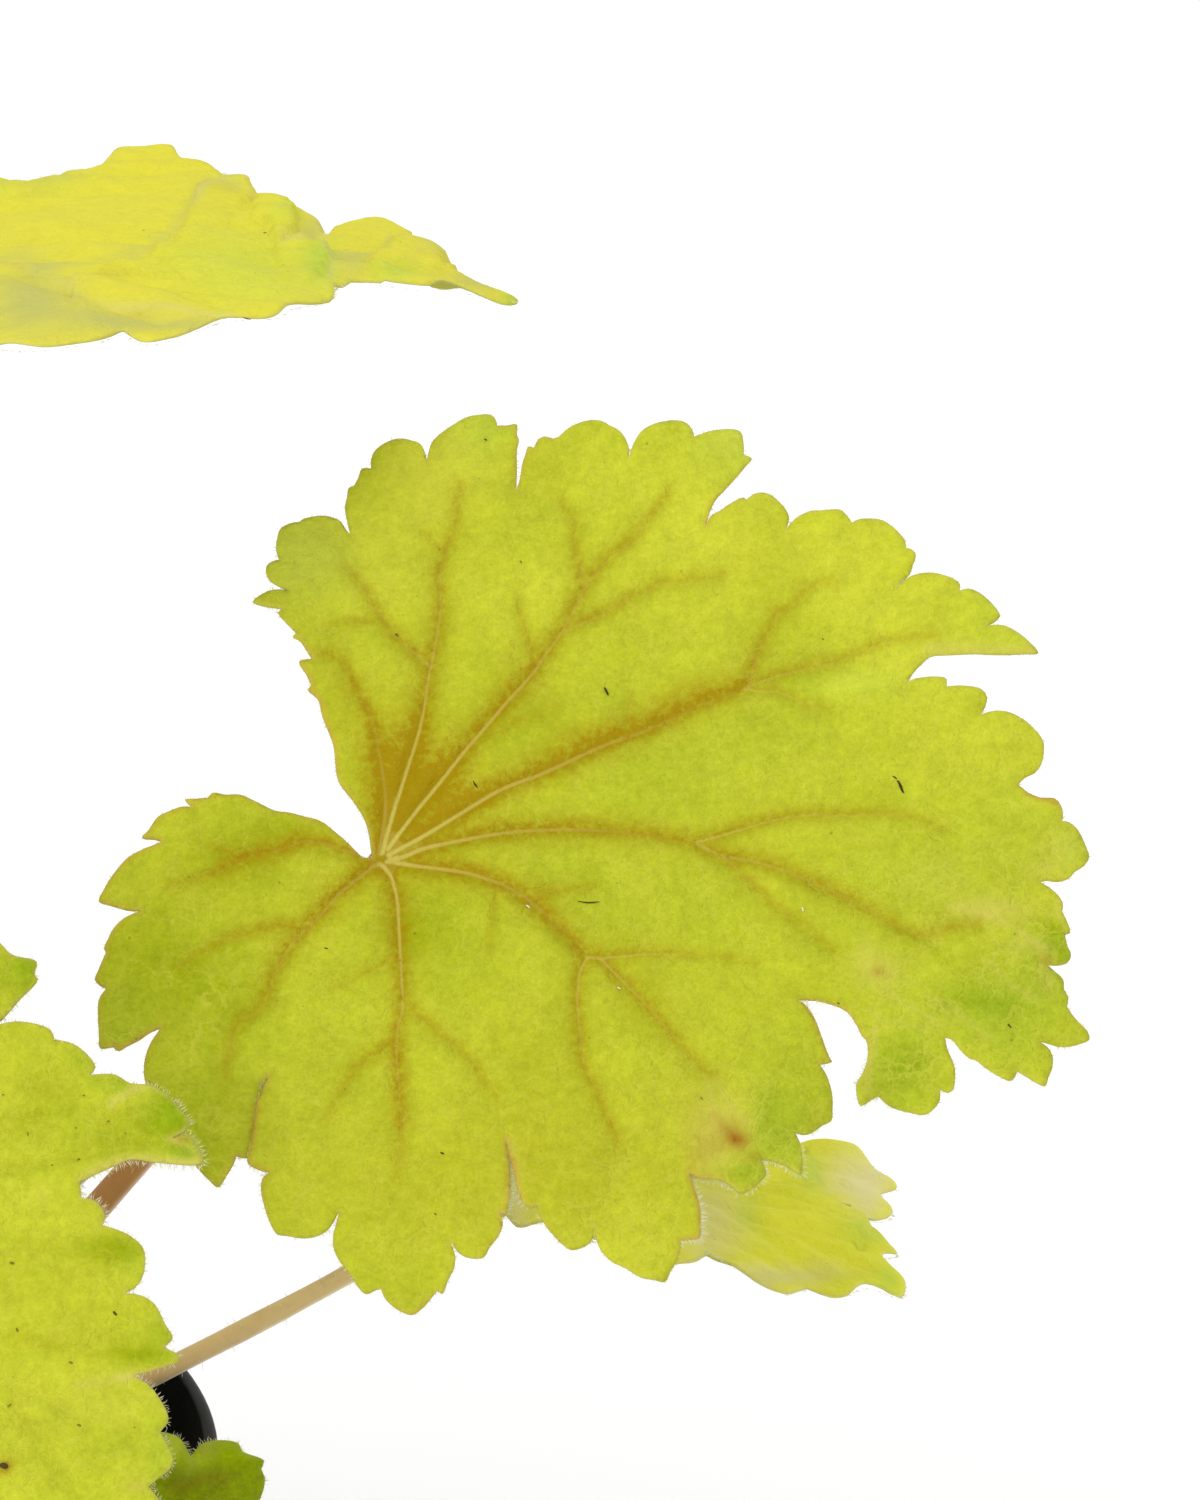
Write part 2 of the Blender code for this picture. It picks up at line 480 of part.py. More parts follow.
def make_leaf(name, outline, place, route, radii, spacing, material):
    """One leaf: blade and stalk fused into one piece. The stalk's end, tapered, runs on inside the blade."""
    leaf = add_object(name, blade_mesh(name, outline, place, spacing), material)
    stalk = stalk_object(name + "_stalk", route, radii)
    apply_booleans(leaf, [stalk], "UNION")
    tidy_mesh(leaf)
    leaf.data.materials.clear()
    leaf.data.materials.append(material)
    shade(leaf, 50.0)


def sight_point(junction, x, y, z):
    """The point that looks x across and y up from the junction, z nearer to the eye than it."""
    eye = EYE - junction
    across, up, back = eye.dot(SIGHT_RIGHT), eye.dot(SIGHT_UP), eye.dot(SIGHT_BACK)
    share = (back - z) / back
    local_x = across + (x - across) * share
    local_y = up + (y - up) * share
    return junction + SIGHT_RIGHT * local_x + SIGHT_UP * local_y + SIGHT_BACK * z


def large_height(x, y):
    """How far the large leaf stands towards the eye: tilted back, rounded off, sunk at the junction."""
    reach = math.hypot(x, y)
    angle = math.atan2(y, x)
    tilt = -math.tan(math.radians(30.0)) * y
    rounding = -0.0016 * reach * reach
    ripple = 1.5 * (reach / 50.0) ** 2 * math.sin(5.0 * angle + 0.6)
    funnel = -1.6 * math.exp(-((reach / 9.0) ** 2))
    flap = -5.0 * math.exp(-(((x - 52.0) / 8.0) ** 2) - ((y + 27.0) / 7.0) ** 2)
    return tilt + rounding + ripple + funnel + flap


def large_place(x, y):
    normal = (SIGHT_BACK + SIGHT_UP * math.tan(math.radians(30.0))).normalized()
    return sight_point(LARGE_JUNCTION, x, y, large_height(x, y)), normal


def front_height(x, y):
    reach = math.hypot(x, y)
    angle = math.atan2(y, x)
    tilt = -math.tan(math.radians(18.0)) * y + 0.12 * x
    rounding = -0.0022 * reach * reach
    ripple = 1.6 * (reach / 45.0) ** 2 * math.sin(5.0 * angle + 2.0)
    return tilt + rounding + ripple


def front_place(x, y):
    normal = (SIGHT_BACK + SIGHT_UP * math.tan(math.radians(18.0))).normalized()
    return sight_point(FRONT_JUNCTION, x, y, front_height(x, y)), normal


def low_place(x, y):
    reach = math.hypot(x, y)
    angle = math.atan2(y, x)
    height = -math.tan(math.radians(42.0)) * y - 0.004 * reach * reach
    height += 1.0 * (reach / 22.0) ** 2 * math.sin(5.0 * angle + 1.0)
    normal = (SIGHT_BACK + SIGHT_UP * math.tan(math.radians(42.0))).normalized()
    return sight_point(LOW_JUNCTION, x, y, height), normal


def high_place(x, away):
    """The high leaf: almost level with the line of sight, its far side up and its tip hanging."""
    crest = 5.6 - 0.0031 * (x - 44.0) ** 2
    rise = 0.16 * away + 0.0016 * away * abs(away)
    ripple = 0.8 * math.sin(0.21 * x + 0.9) * (away / 40.0) ** 2
    return sight_point(HIGH_JUNCTION, x, crest + rise + ripple, -away), SIGHT_UP


def rear_place(x, away):
    """The rear right leaf: it falls away to the right, its far side up."""
    crest = -0.0046 * x * x
    rise = 0.29 * away + 0.0016 * away * abs(away)
    ripple = 0.9 * math.sin(0.33 * x) * (away / 28.0) ** 2
    return sight_point(REAR_JUNCTION, x, crest + rise + ripple, -away), SIGHT_UP


def palmate_outline(length, seed, teeth=3):
    """A rounded, lobed and toothed blade outline about its junction, tip along +X, sinus at the stalk.

    Lobes fan out from the junction, and each has teeth of a round shoulder and a short point.
    """
    draw = random.Random(seed)
    lobes = (
        (-142.0, 0.66, 20.0),
        (-97.0, 0.84, 24.0),
        (-48.0, 0.95, 24.0),
        (0.0, 1.0, 24.0),
        (48.0, 0.95, 24.0),
        (97.0, 0.84, 24.0),
        (142.0, 0.66, 20.0),
    )
    points = [(-0.02 * length, -0.035 * length)]
    for centre, reach, half in lobes:
        centre += draw.uniform(-2.5, 2.5)
        reach *= draw.uniform(0.94, 1.06) * length
        for k in range(teeth):
            middle = (k + 0.5) / teeth * 2.0 - 1.0
            width = 1.0 / teeth
            crown = reach * (1.0 - 0.15 * middle * middle)
            for offset, depth in ((-0.62, 0.975), (0.05, 1.0), (0.55, 0.965), (0.95, 0.90)):
                angle = centre + half * (middle + width * offset)
                radius = crown * depth * draw.uniform(0.99, 1.01)
                if k == teeth - 1 and offset > 0.9:
                    radius = crown * 0.80
                    angle = centre + half * 1.04
                points.append((radius * math.cos(math.radians(angle)), radius * math.sin(math.radians(angle))))
    points.append((-0.02 * length, 0.035 * length))
    return points


def blade_frame(heading, pitch):
    """Midrib, left and upward directions of a blade."""
    turn = Matrix.Rotation(math.radians(heading), 3, "Z") @ Matrix.Rotation(math.radians(-pitch), 3, "Y")
    return turn @ Vector((1.0, 0.0, 0.0)), turn @ Vector((0.0, 1.0, 0.0)), turn @ Vector((0.0, 0.0, 1.0))


def other_place(junction, axes, length, seed):
    """Surface of one of the other leaves: arched, its margin waved, its junction slightly sunk."""
    midrib, left, normal = axes
    phase = random.Random(seed + 100).uniform(0.0, 6.0)

    def place(p, q):
        reach = math.hypot(p, q) / length
        angle = math.atan2(q, p)
        height = -0.16 * (p / length) ** 2 - 0.13 * (q / length) ** 2 - 0.025 * math.exp(-((reach / 0.16) ** 2))
        height += 0.045 * reach * reach * math.sin(5.0 * angle + phase)
        return junction + midrib * p + left * q + normal * (height * length), normal

    return place


def ring_foot(degrees, ring):
    """Where a stalk stands in the soil."""
    angle = math.radians(degrees)
    return Vector((ring * math.cos(angle), ring * math.sin(angle), SOIL_LEVEL - STALK_HOLE_DEPTH + GAP))


def stalk_route(foot, bend, arrival, junction, end):
    """Stalk from its hole straight up to the soil's top, then one smooth curve to the junction."""
    neck = Vector((foot.x, foot.y, SOIL_LEVEL + 1.5))
    points = [foot]
    for k in range(STALK_STEPS + 1):
        t = k / STALK_STEPS
        u = 1.0 - t
        points.append(neck * u**3 + bend * (3.0 * u * u * t) + arrival * (3.0 * u * t * t) + junction * t**3)
    return points + [end]


def stalk_radii(top):
    radii = [STALK_FOOT_RADIUS, STALK_FOOT_RADIUS]
    for k in range(1, STALK_STEPS + 1):
        share = (k / STALK_STEPS) ** 0.5
        radii.append(STALK_FOOT_RADIUS + (top - STALK_FOOT_RADIUS) * share)
    return radii + [top * 0.35]


def build():
    clear_scene()
    black = make_material("pot_black_plastic", (0.012, 0.013, 0.012), 0.45)
    peat = make_material("soil_peat", (0.045, 0.028, 0.016), 0.95)
    bark = make_material("crown_bark", (0.16, 0.09, 0.05), 0.85)
    lime = make_material("leaf_lime", (0.50, 0.52, 0.04), 0.55)
    green = make_material("leaf_green", (0.26, 0.32, 0.03), 0.55)

    fronts = (
        ("leaf_01", LARGE_OUTLINE, large_place, (1.6, -1.2), lime, 6.6),
        ("leaf_02", HIGH_OUTLINE, high_place, (2.0, 0.0), lime, 8.5),
        ("leaf_03", FRONT_OUTLINE, front_place, (1.6, -1.2), lime, 8.5),
        ("leaf_04", REAR_OUTLINE, rear_place, (1.6, -0.5), lime, 7.5),
        ("leaf_05", LOW_OUTLINE, low_place, (1.0, -0.8), green, 5.5),
    )
    feet = []
    for name, outline, place, inset, colour, spacing in fronts:
        degrees, ring, bend, arrival, top = FRONT_STALKS[name]
        foot = ring_foot(degrees, ring)
        junction, along = place(0.0, 0.0)
        end, _ = place(*inset)
        route = stalk_route(foot, Vector(bend), Vector(arrival), junction - along * (top * 0.7), end)
        make_leaf(name, outline, place, route, stalk_radii(top), spacing, colour)
        feet.append(foot)
    for name, values in OTHER_LEAVES.items():
        foot_degrees, ring, degrees, reach, height, pitch, turn, length, bow, seed = values
        angle = math.radians(degrees)
        junction = Vector((reach * math.cos(angle), reach * math.sin(angle), height))
        axes = blade_frame(degrees + turn, pitch)
        place = other_place(junction, axes, length, seed)
        top = 0.8 + 0.45 * length / 48.0
        foot = ring_foot(foot_degrees, ring)
        centre, along = place(0.0, 0.0)
        end, _ = place(0.05 * length, 0.0)
        span = (junction - foot).length
        bend = foot.lerp(centre, 0.04) + Vector((0.0, 0.0, bow * span))
        bend.z = max(bend.z, SOIL_LEVEL + 10.0)
        arrival = centre - axes[0] * (0.3 * span) - Vector((0.0, 0.0, 0.05 * span))
        route = stalk_route(foot, bend, arrival, centre - along * (top * 0.7), end)
        outline = palmate_outline(length, seed)
        make_leaf(name, outline, place, route, stalk_radii(top), length * 0.22, lime)
        feet.append(foot)
    make_pot(black)
    make_soil(peat, feet)
    make_crown(bark)


build()
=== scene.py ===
"""Heuchera plant in its pot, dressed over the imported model.

Every leaf gets a finely meshed blade with sunken veins, a tapering hairy stalk and a leaf material. The pot,
soil and crown get detailed pieces of their own. Lengths are written in millimetres and MM turns them into metres.
"""

import math
import random
from types import SimpleNamespace

import bmesh
import bpy
import numpy as np
from mathutils import Matrix, Vector, kdtree, noise
from mathutils.geometry import delaunay_2d_cdt


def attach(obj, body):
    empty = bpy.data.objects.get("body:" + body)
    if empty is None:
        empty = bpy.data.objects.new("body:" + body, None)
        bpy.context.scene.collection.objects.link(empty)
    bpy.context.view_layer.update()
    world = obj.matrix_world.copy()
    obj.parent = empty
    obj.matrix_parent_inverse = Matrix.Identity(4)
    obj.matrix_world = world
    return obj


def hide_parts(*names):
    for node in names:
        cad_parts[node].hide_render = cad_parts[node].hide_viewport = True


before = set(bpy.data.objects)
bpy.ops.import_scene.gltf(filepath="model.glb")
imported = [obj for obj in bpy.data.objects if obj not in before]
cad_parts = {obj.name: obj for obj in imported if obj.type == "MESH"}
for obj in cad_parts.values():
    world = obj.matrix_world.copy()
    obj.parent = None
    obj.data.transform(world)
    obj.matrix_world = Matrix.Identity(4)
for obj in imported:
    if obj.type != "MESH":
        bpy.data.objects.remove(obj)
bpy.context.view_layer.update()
COARSENESS = 1.0
MM = 0.001

# Pot, soil and crown
POT_HEIGHT = 100.0
POT_WALL = 1.6
POT_SEGMENTS = 144
DRAIN_HOLES = 8
DRAIN_RADIUS = 4.5
DRAIN_RING = 31.0
SOIL_LEVEL = 86.0
SOIL_RADIUS = 53.0
SOIL_RINGS = 62
SOIL_SEGMENTS = 150
SOIL_CRUMBS = 560
CROWN_SEGMENTS = 56
OLD_STUBS = 9

# Blades: relief between and along the veins, steps along curves, and the veins of the drawn leaves as strength
# at the start and end and pale share
BLADE_THICKNESS = 0.5
BLADE_DIP = 1.0
DOME_RISE = 0.75
DOME_WIDTH = 2.6
VEIN_DEPTH = 0.5
VEIN_WIDTH = 0.75
MARGIN_WIDTH = 5.0
MARGIN_WAVE = 0.9
VEIN_STEP = 0.12
ROUTE_STEP = 0.15
GRID_JITTER = 0.16
MAIN_VEIN = (0.85, 0.2, 0.8)
MAIN_VEIN_SPOTS = (0.02, 0.25, 0.5, 0.75, 0.95)
SIDE_VEIN = (0.45, 0.12, 0.15)
SIDE_VEIN_STARTS = (0.3, 0.42, 0.55, 0.68, 0.8)
TEETH = 3
TOOTH_SHAPE = ((-0.62, 0.975), (0.05, 1.0), (0.55, 0.965), (0.95, 0.90))

# Stalks, hairs and specks
FOOT_HEIGHT = 78.35
INNER_RING = 12.5
OUTER_RING = 19.0
STALK_FOOT_RADIUS = 1.7
STALK_PALE_SIDE = (0.72, -0.1, -0.68)
STALK_SIDES = 14
STALK_STEPS = 40
STALK_HAIRS_PER_MM = 2.2
HAIR_RADIUS = 0.037
SPECK_SIDES = 6
SPECK_RINGS = 5

# Studio
FLOOR_REACH = 10000.0
FLOOR_LEVEL = -0.3
SKY_STRENGTH = 0.82
FOCAL_LENGTH = 192.0
SENSOR_WIDTH = 36.0

# The line of sight of the front view, which the outlines of the leaves in front are written along.
ELEVATION = math.radians(22.0)
SIGHT_DISTANCE = 800.0
RIGHT = np.array((1.0, 0.0, 0.0))
UP = np.array((0.0, math.sin(ELEVATION), math.cos(ELEVATION)))
BACK = np.array((0.0, -math.cos(ELEVATION), math.sin(ELEVATION)))
LARGE_JUNCTION = np.array((79.0, -30.0, 182.0))
FRONT_JUNCTION = np.array((14.6, -75.0, 162.0))
LOW_JUNCTION = np.array((46.0, -45.0, 106.5))
HIGH_JUNCTION = np.array((5.3, 15.0, 226.0))
REAR_JUNCTION = np.array((90.0, 40.0, 116.0))
EYE = LARGE_JUNCTION + RIGHT * 22.0 + UP * 11.2 + BACK * SIGHT_DISTANCE

# Outlines: "x,y" in millimetres from the junction, clockwise. A slash marks a sharp notch between teeth.
LARGE_OUTLINE = """
-0.8,0.4 -0.9,1.4 -1.2,3.2 -1.8,4.7 -2.8,6.2 -4.2,8.2 -4.7,11.7 -5.8,14.6 -6.2,16.2 -7.2,17.2 /-6.9,17.7 -7.4,18.8
-8.1,20 /-6.8,20.3 -7.5,21.4 -8.1,22.2 -8.7,22.5 /-8.4,22.9 -9,23.5 -9.7,24.2 -10.2,24.9 /-9.8,25.3 -11.8,25.6
-12.7,26 -12,26.6 -11,27.1 -10,27.2 /-9,27.1 -10.2,27.6 -11.1,28.2 -11.4,28.9 -11.3,29.6 -10.8,30 /-10.1,30.2
-10.4,31.2 -10.3,32.2 -10,33.2 -9.5,33.6 -8.7,33.9 -8,34 /-7.8,34.2 -7.2,34.4 -5.8,34.6 -4.7,34.4 -3.9,34 -3.4,33.2
/-3,32.8 -3.3,34.2 -3.5,35.4 -3.3,36.4 -3.1,37.4 /-2.6,37.6 -2.2,38.3 -1.8,39.3 /-0.9,39.3 -0.9,40.2 -0.4,41.2
0.4,41.8 1.3,42.2 2.2,42.3 3.2,42.1 4,41.8 4.4,41.2 /4.7,40.2 5.2,41.9 6.2,42.9 7.5,43.8 8.8,44.5 10,44.7 11,44.7
11.5,44.3 /11.7,43.6 12.6,43.6 13.7,43.7 13.7,42.7 13.9,42.2 13.7,41.2 13.7,39.2 /13.6,37.1 14,38.4 14.2,39.7
14.6,40.9 14.8,41.5 /15.4,41.4 15.8,42.2 16.3,42.5 /17.3,42.3 17.9,42.5 18.5,43.1 19.5,43.7 20.8,44.1 22,44.1
23,43.6 23.9,43.1 24.6,42.2 24.9,41.2 /24.9,40.3 25.1,41.2 25.5,42.1 26.1,43 27,43.6 28.3,44 29.8,44.1 30.7,43.8
31.2,43.2 /31.4,42.5 32.2,42.8 33.2,43.1 35.5,43.2 36.1,42.9 36.3,42.2 /36.4,40.7 37.2,40.3 36.7,39.7 35.8,38.6
34.7,37.4 33.6,36.2 33,35 /32.6,33.5 33,34.5 34,35.1 35.2,35.9 36.3,36.4 /36.7,36.2 37.3,36.7 38.2,36.9 39,36.7
40,35.9 40.7,35 40.9,34.3 /40.6,33.2 41.1,33.9 41.8,34.5 42.6,34.9 43.3,35.1 44,35.1 45,35.2 46,35.2 46.5,34.8
47,34.2 /47.2,33.9 47.8,34.2 48.8,34.3 50,34.2 51,33.7 51.9,32.9 52.5,32.1 /52.6,31.4 53.2,31.2 53.6,30.6 53.3,29.7
53,28.8 /51.7,27.6 52.5,28.2 53.5,28.7 54.8,28.9 56.2,28.7 57.5,28.2 58,27.7 /58,27.1 58.8,27.3 59.7,27 60.8,26.2
61.6,25.3 62,24.6 61.6,24.1 /60.7,23.6 61.7,23.7 62.7,23.5 63.8,22.9 64.8,22.1 65.8,20.9 64.5,20.8 62,20.7 59.5,20.8
57,20.7 55,20.5 54.2,19.8 53.5,19.1 /52.7,17.9 53.2,18.2 54.2,18.4 55.5,18.5 56.6,18.3 /56.7,17.5 57.8,17.6
59.2,17.5 60.2,17.2 60.7,16.4 60.5,15.5 /60.1,14.7 61,15 62,15.1 63,14.9 64.2,14.3 65.3,13.4 66.3,12.1 66.4,11
66.1,9.7 65.5,8.9 64.5,8.4 /63.8,7.7 64.8,6.9 66,6.4 67.5,6.3 68.1,5.6 68.3,4.7 /68.2,4.1 68.8,4 69.6,3.4 70.2,2.4
70.7,1.2 70.9,0.5 70.5,-0.3 69.5,-1 68.8,-1.7 67.8,-2 66.7,-1.9 /66,-2 67.2,-2.8 68,-3.6 68.3,-4.3 /68.2,-5 68.7,-6
69,-7.1 /68.5,-7.3 68.7,-8.3 69.1,-9.3 68.7,-10.1 67.5,-10.4 /66.7,-10.3 67.5,-11 68.3,-11.8 68.4,-12.8 68.8,-13.5
/68.7,-14.5 69.2,-15.3 70,-16.2 70.7,-16.9 70.9,-17.8 70,-18.2 68.8,-18.5 67.8,-18.5 66.8,-18.2 /66,-18 66.7,-18.5
67.2,-19.3 67.2,-20.6 66.8,-21.6 66.5,-22.4 65.5,-22 64.5,-21.4 /63.7,-20.9 63.5,-21.5 63,-21.9 62,-21.5 60.8,-20.8
59.5,-19.8 59,-19.7 58,-18.8 57.2,-17.8 /56.5,-17.6 56.7,-18.6 57.2,-19.8 57.5,-20.8 57.3,-22.8 56.7,-23.1 /56,-22.8
56,-23.8 55.4,-24.7 54.5,-25.3 53,-25.1 51.5,-24.7 50.5,-24.1 /49.8,-23.4 48.8,-24 48.1,-24.4 47.7,-23.3 47.7,-22.1
48.2,-21.3 48.7,-20 48.8,-18.6 48.6,-17.8 48.2,-17.4 47.7,-16.4 46.9,-15.2 46,-14.6 44.8,-14.2 43.5,-13.9 /42,-13.9
42.8,-14.6 43.5,-15.8 44,-17.1 44.5,-18.5 44.9,-19.5 45.2,-20 /43.9,-20.3 44.4,-20.9 44.9,-22.1 45.2,-23.5
45.2,-24.8 45.1,-25.9 44.2,-26.4 43.2,-27.1 42.5,-27.3 /41.5,-27.1 42,-28.3 42.2,-29.6 42.1,-31.3 41.4,-30.9
40.5,-30.3 39.5,-30 /38.1,-29.8 38.4,-30.5 38.6,-31.3 38,-32 37.2,-32.7 36,-33.2 35.3,-32.5 34.2,-31.9 32.8,-31.7
31.8,-31.6 /30.9,-31.1 31.3,-32.3 31.7,-33.5 32.1,-34.8 32.1,-36.3 32,-37.6 31,-37.8 /30.1,-37.9 30,-39 29.6,-40.1
29,-41.1 28.5,-42 27.5,-41.8 26,-41.5 24.5,-40.6 23.2,-40 22.2,-39 21.7,-38 /21.4,-36.5 21.2,-37.8 20.6,-38.4
19.1,-38.8 18.3,-38.3 17.3,-37.3 16.5,-36.3 15.9,-35.1 /15.8,-34.4 15.1,-34.6 14.3,-34.1 13.7,-32.3 13.2,-30.3
/12.6,-27.8 12.9,-29.8 13,-31.8 12.9,-33.8 12.5,-35.3 /12,-35.1 12.3,-36 11.9,-37.3 11,-38.5 10.4,-39.5 9,-39.6
8,-39.2 /7.1,-38.1 7.5,-39.3 7.4,-40.6 6.8,-41.8 6.2,-43.2 /5.7,-42.9 5,-43.8 4.2,-44.7 3.2,-45.3 2,-44.9 1,-44.2
0.4,-43.5 /0.1,-42.7 -0.4,-42.8 -1.4,-43.2 -2.2,-42.5 -3,-41.3 -4,-40 -4.6,-38.8 -4.7,-37.5 -4.4,-36.3 /-4.1,-35
-4.7,-36.1 -5.2,-36.8 -6.5,-37.5 -8,-37.6 -9.2,-37.4 -10.3,-37.2 -11,-36.1 -11.6,-34.3 -11.9,-32.8 -11.8,-31.8
/-11.1,-31 -11.8,-30.9 -12.5,-30.6 -13.2,-30.1 -13,-28.3 -12.7,-26.8 -12.5,-25.3 -12.3,-23.8 -11.6,-22.4 /-11,-21.4
-11.5,-22 -12,-22.7 -12.7,-23.7 -13.1,-25 -13.3,-26.8 -13.4,-28.6 -13.5,-29.6 -14.8,-29.5 /-14.9,-29.4 -15.3,-30.8
-16.2,-32.5 -17.3,-31.6 -18.1,-30.8 -18.8,-30 -20,-28.8 -21.5,-26.3 -22.8,-24.3 -23.4,-22.2 -23.6,-21.3 -23.5,-19.8
-23,-18.3 /-21.9,-16.6 -23,-17.1 -24,-17.8 -25.2,-18.4 -26.2,-18.9 /-26.7,-18.5 -28,-18.6 -28.1,-17.3 -28.2,-15.3
-28.1,-13.8 /-27.4,-12.7 -28,-12.4 -28.5,-11.8 -28.2,-11 -27.8,-10 /-27.4,-9.1 -27.6,-8.7 -27.2,-7.8 -26.7,-6.8
-25.8,-5.8 -24.7,-5.2 /-23.8,-4.9 -25,-4.9 -26.2,-4.6 -27.2,-4.3 -28.1,-4 -27.6,-2.8 -26.9,-1.6 -25.9,-0.3 -25.1,0.5
-24,1.1 -22.8,1.6 /-21.8,2 -22.5,2.2 -23.8,2.4 -23.1,3.2 -22.6,4 -22.2,4.5 -21,5.1 -19.8,5.5 /-18.8,5.5 -19.5,6.2
-18.3,6.3 /-17.2,6.4 -16.7,6.9 -15.5,6.7 -14,6.7 -13,6.3 -11.8,5.7 -10.5,5.1 -9,4.9 -7.5,4.5 -6,4.1 -4.5,3 -3,1.7
-1.8,0.5
"""
FRONT_OUTLINE = """
-1.5,1 -6,7 -13,13.5 -14.5,18 -12,21.5 -13,25 -9,28 -8,32 -3,33.5 -1,31 1,36 5,39 9,38.5 11,41 16,41.5 18.5,38.5
20,33 23,36.5 26,34.5 26.5,30.5 29,28.1 30.1,27 32.5,26.3 32.3,25.1 32.6,24.6 30.9,22.7 29,20.6 28.2,20.2 30.9,20.6
33.8,19.8 34.2,18.9 36.1,18.4 37.8,16.9 38.1,16.2 37.6,15.5 40,15.5 41.4,14.7 43.3,14.5 44.8,13.6 46.2,12.2 47,11.1
46.8,10.3 45.3,9.3 46.6,9.7 47.3,9.4 47.8,8.8 48.3,7.1 44.3,7.1 41.4,7.4 39.5,6.6 36.6,5.3 36.8,3.7 38.1,3.4 39,2.1
38.8,1.1 41.2,0.2 42.7,-1.2 42.7,-3.6 41.9,-4.9 40.9,-5.4 42.4,-5.6 43.8,-6.5 44.8,-8.4 45.5,-9.7 44.7,-10.6
45.7,-11.1 46.2,-11.8 44.8,-12.4 41.8,-13.3 43.2,-14.2 44,-15.1 45.1,-17.5 44.3,-18.7 45.2,-20.3 45.5,-21.7
43.2,-23.9 44.2,-25.2 45,-26.5 44,-31 40.5,-33 41,-36.5 37,-38.5 32,-36 32,-40 29,-44.5 24,-45.5 20,-42 17,-46.5
12,-47 8.5,-42.5 6,-45.5 1,-45 -2,-40 -5,-42 -9.5,-40 -11,-33 -14.5,-35 -19,-32 -20,-27 -24,-26.5 -27,-21.5
-25.5,-16 -28,-13 -28,-7.5 -24,-4 -24.5,0 -20,3 -14,3 -9,3 -3,0.5
"""
LOW_OUTLINE = """
-0.8,0.8 -3.5,4.5 -6.5,8.5 -8,12 -5.5,14.5 -5,17.5 -0.5,18.5 0.5,16 2.5,19.5 6.5,20 8,16.8 10.5,17.3 12.2,16.7
13.3,14.9 14.8,16.3 18.2,16.2 18.6,15.4 20.8,14.4 20.5,13.6 20.9,12.7 20.2,10.2 18,7.5 22,6.5 24,3.5 22.8,1.5
24.5,-1 22.5,-4 19,-4.5 21,-8 19,-12 16,-12 14,-15 10,-14.5 8.5,-12 6,-16 2,-16 0,-13 -4,-14 -6.5,-11.5 -7,-8.5
-10.5,-7.5 -11,-4 -9,-1.5 -10.5,1.5 -7.5,3.5 -3,0.2
"""
HIGH_OUTLINE = """
-1,0.5 -6,6 -13,13 -17,19 -15.5,23 -17,27 -12,31 -8,30 -6,34.5 0,36.5 3.5,33.5 7,40 13,43.5 16.5,40.5 21,45.5 27,45
30,38 32,31 36,31.5 41,35.5 44,39 46.5,46 51,46.5 52.8,41 56,37.5 58,33 60.2,28 60.8,26.5 63.5,25 66.3,20 67.5,14
69.5,22 73,26 76,23.5 76.5,17.5 79.8,14 81,6 84.5,4 87.2,-0.5 83,-3 79.5,-4 78,-7 73.5,-8.5 70,-9.5 68.4,-15
68.2,-19.5 66.6,-24 64,-28 62,-33.5 57,-35 54,-38 49,-41.5 46.5,-38 43,-42 37,-44.5 33,-41 28,-42.5 22,-41 19.5,-34
15,-38 9,-38 6,-34 0,-34 -4,-29 -9,-29.5 -12,-25 -12.5,-19 -17,-16.5 -17,-10.5 -12,-6 -6,-3 -2,-1
"""
REAR_OUTLINE = """
-0.8,0.6 -5,5 -10,9 -12.5,14 -10,18 -10,22 -5,24.5 -2,23 1,27.5 6,28.5 8.5,26 12,30 17,29.5 19,25.5 22.5,29 27.5,28
29.5,24.5 31.5,22 34.5,26 39,26 41.5,22 44,18.5 42.2,15 43.5,10 41.8,5.5 37.5,3 42,1 44,-4 42.4,-8 44.8,-13 44,-19.5
40.8,-20 38,-24 34,-24 31,-27.5 26,-27 23,-23.5 20.5,-28 15,-29 12,-26 8,-28.5 3,-27 0.5,-22.5 -4.5,-23 -8,-19
-8,-15 -12,-12 -11,-7 -7,-4 -2,-0.8
"""

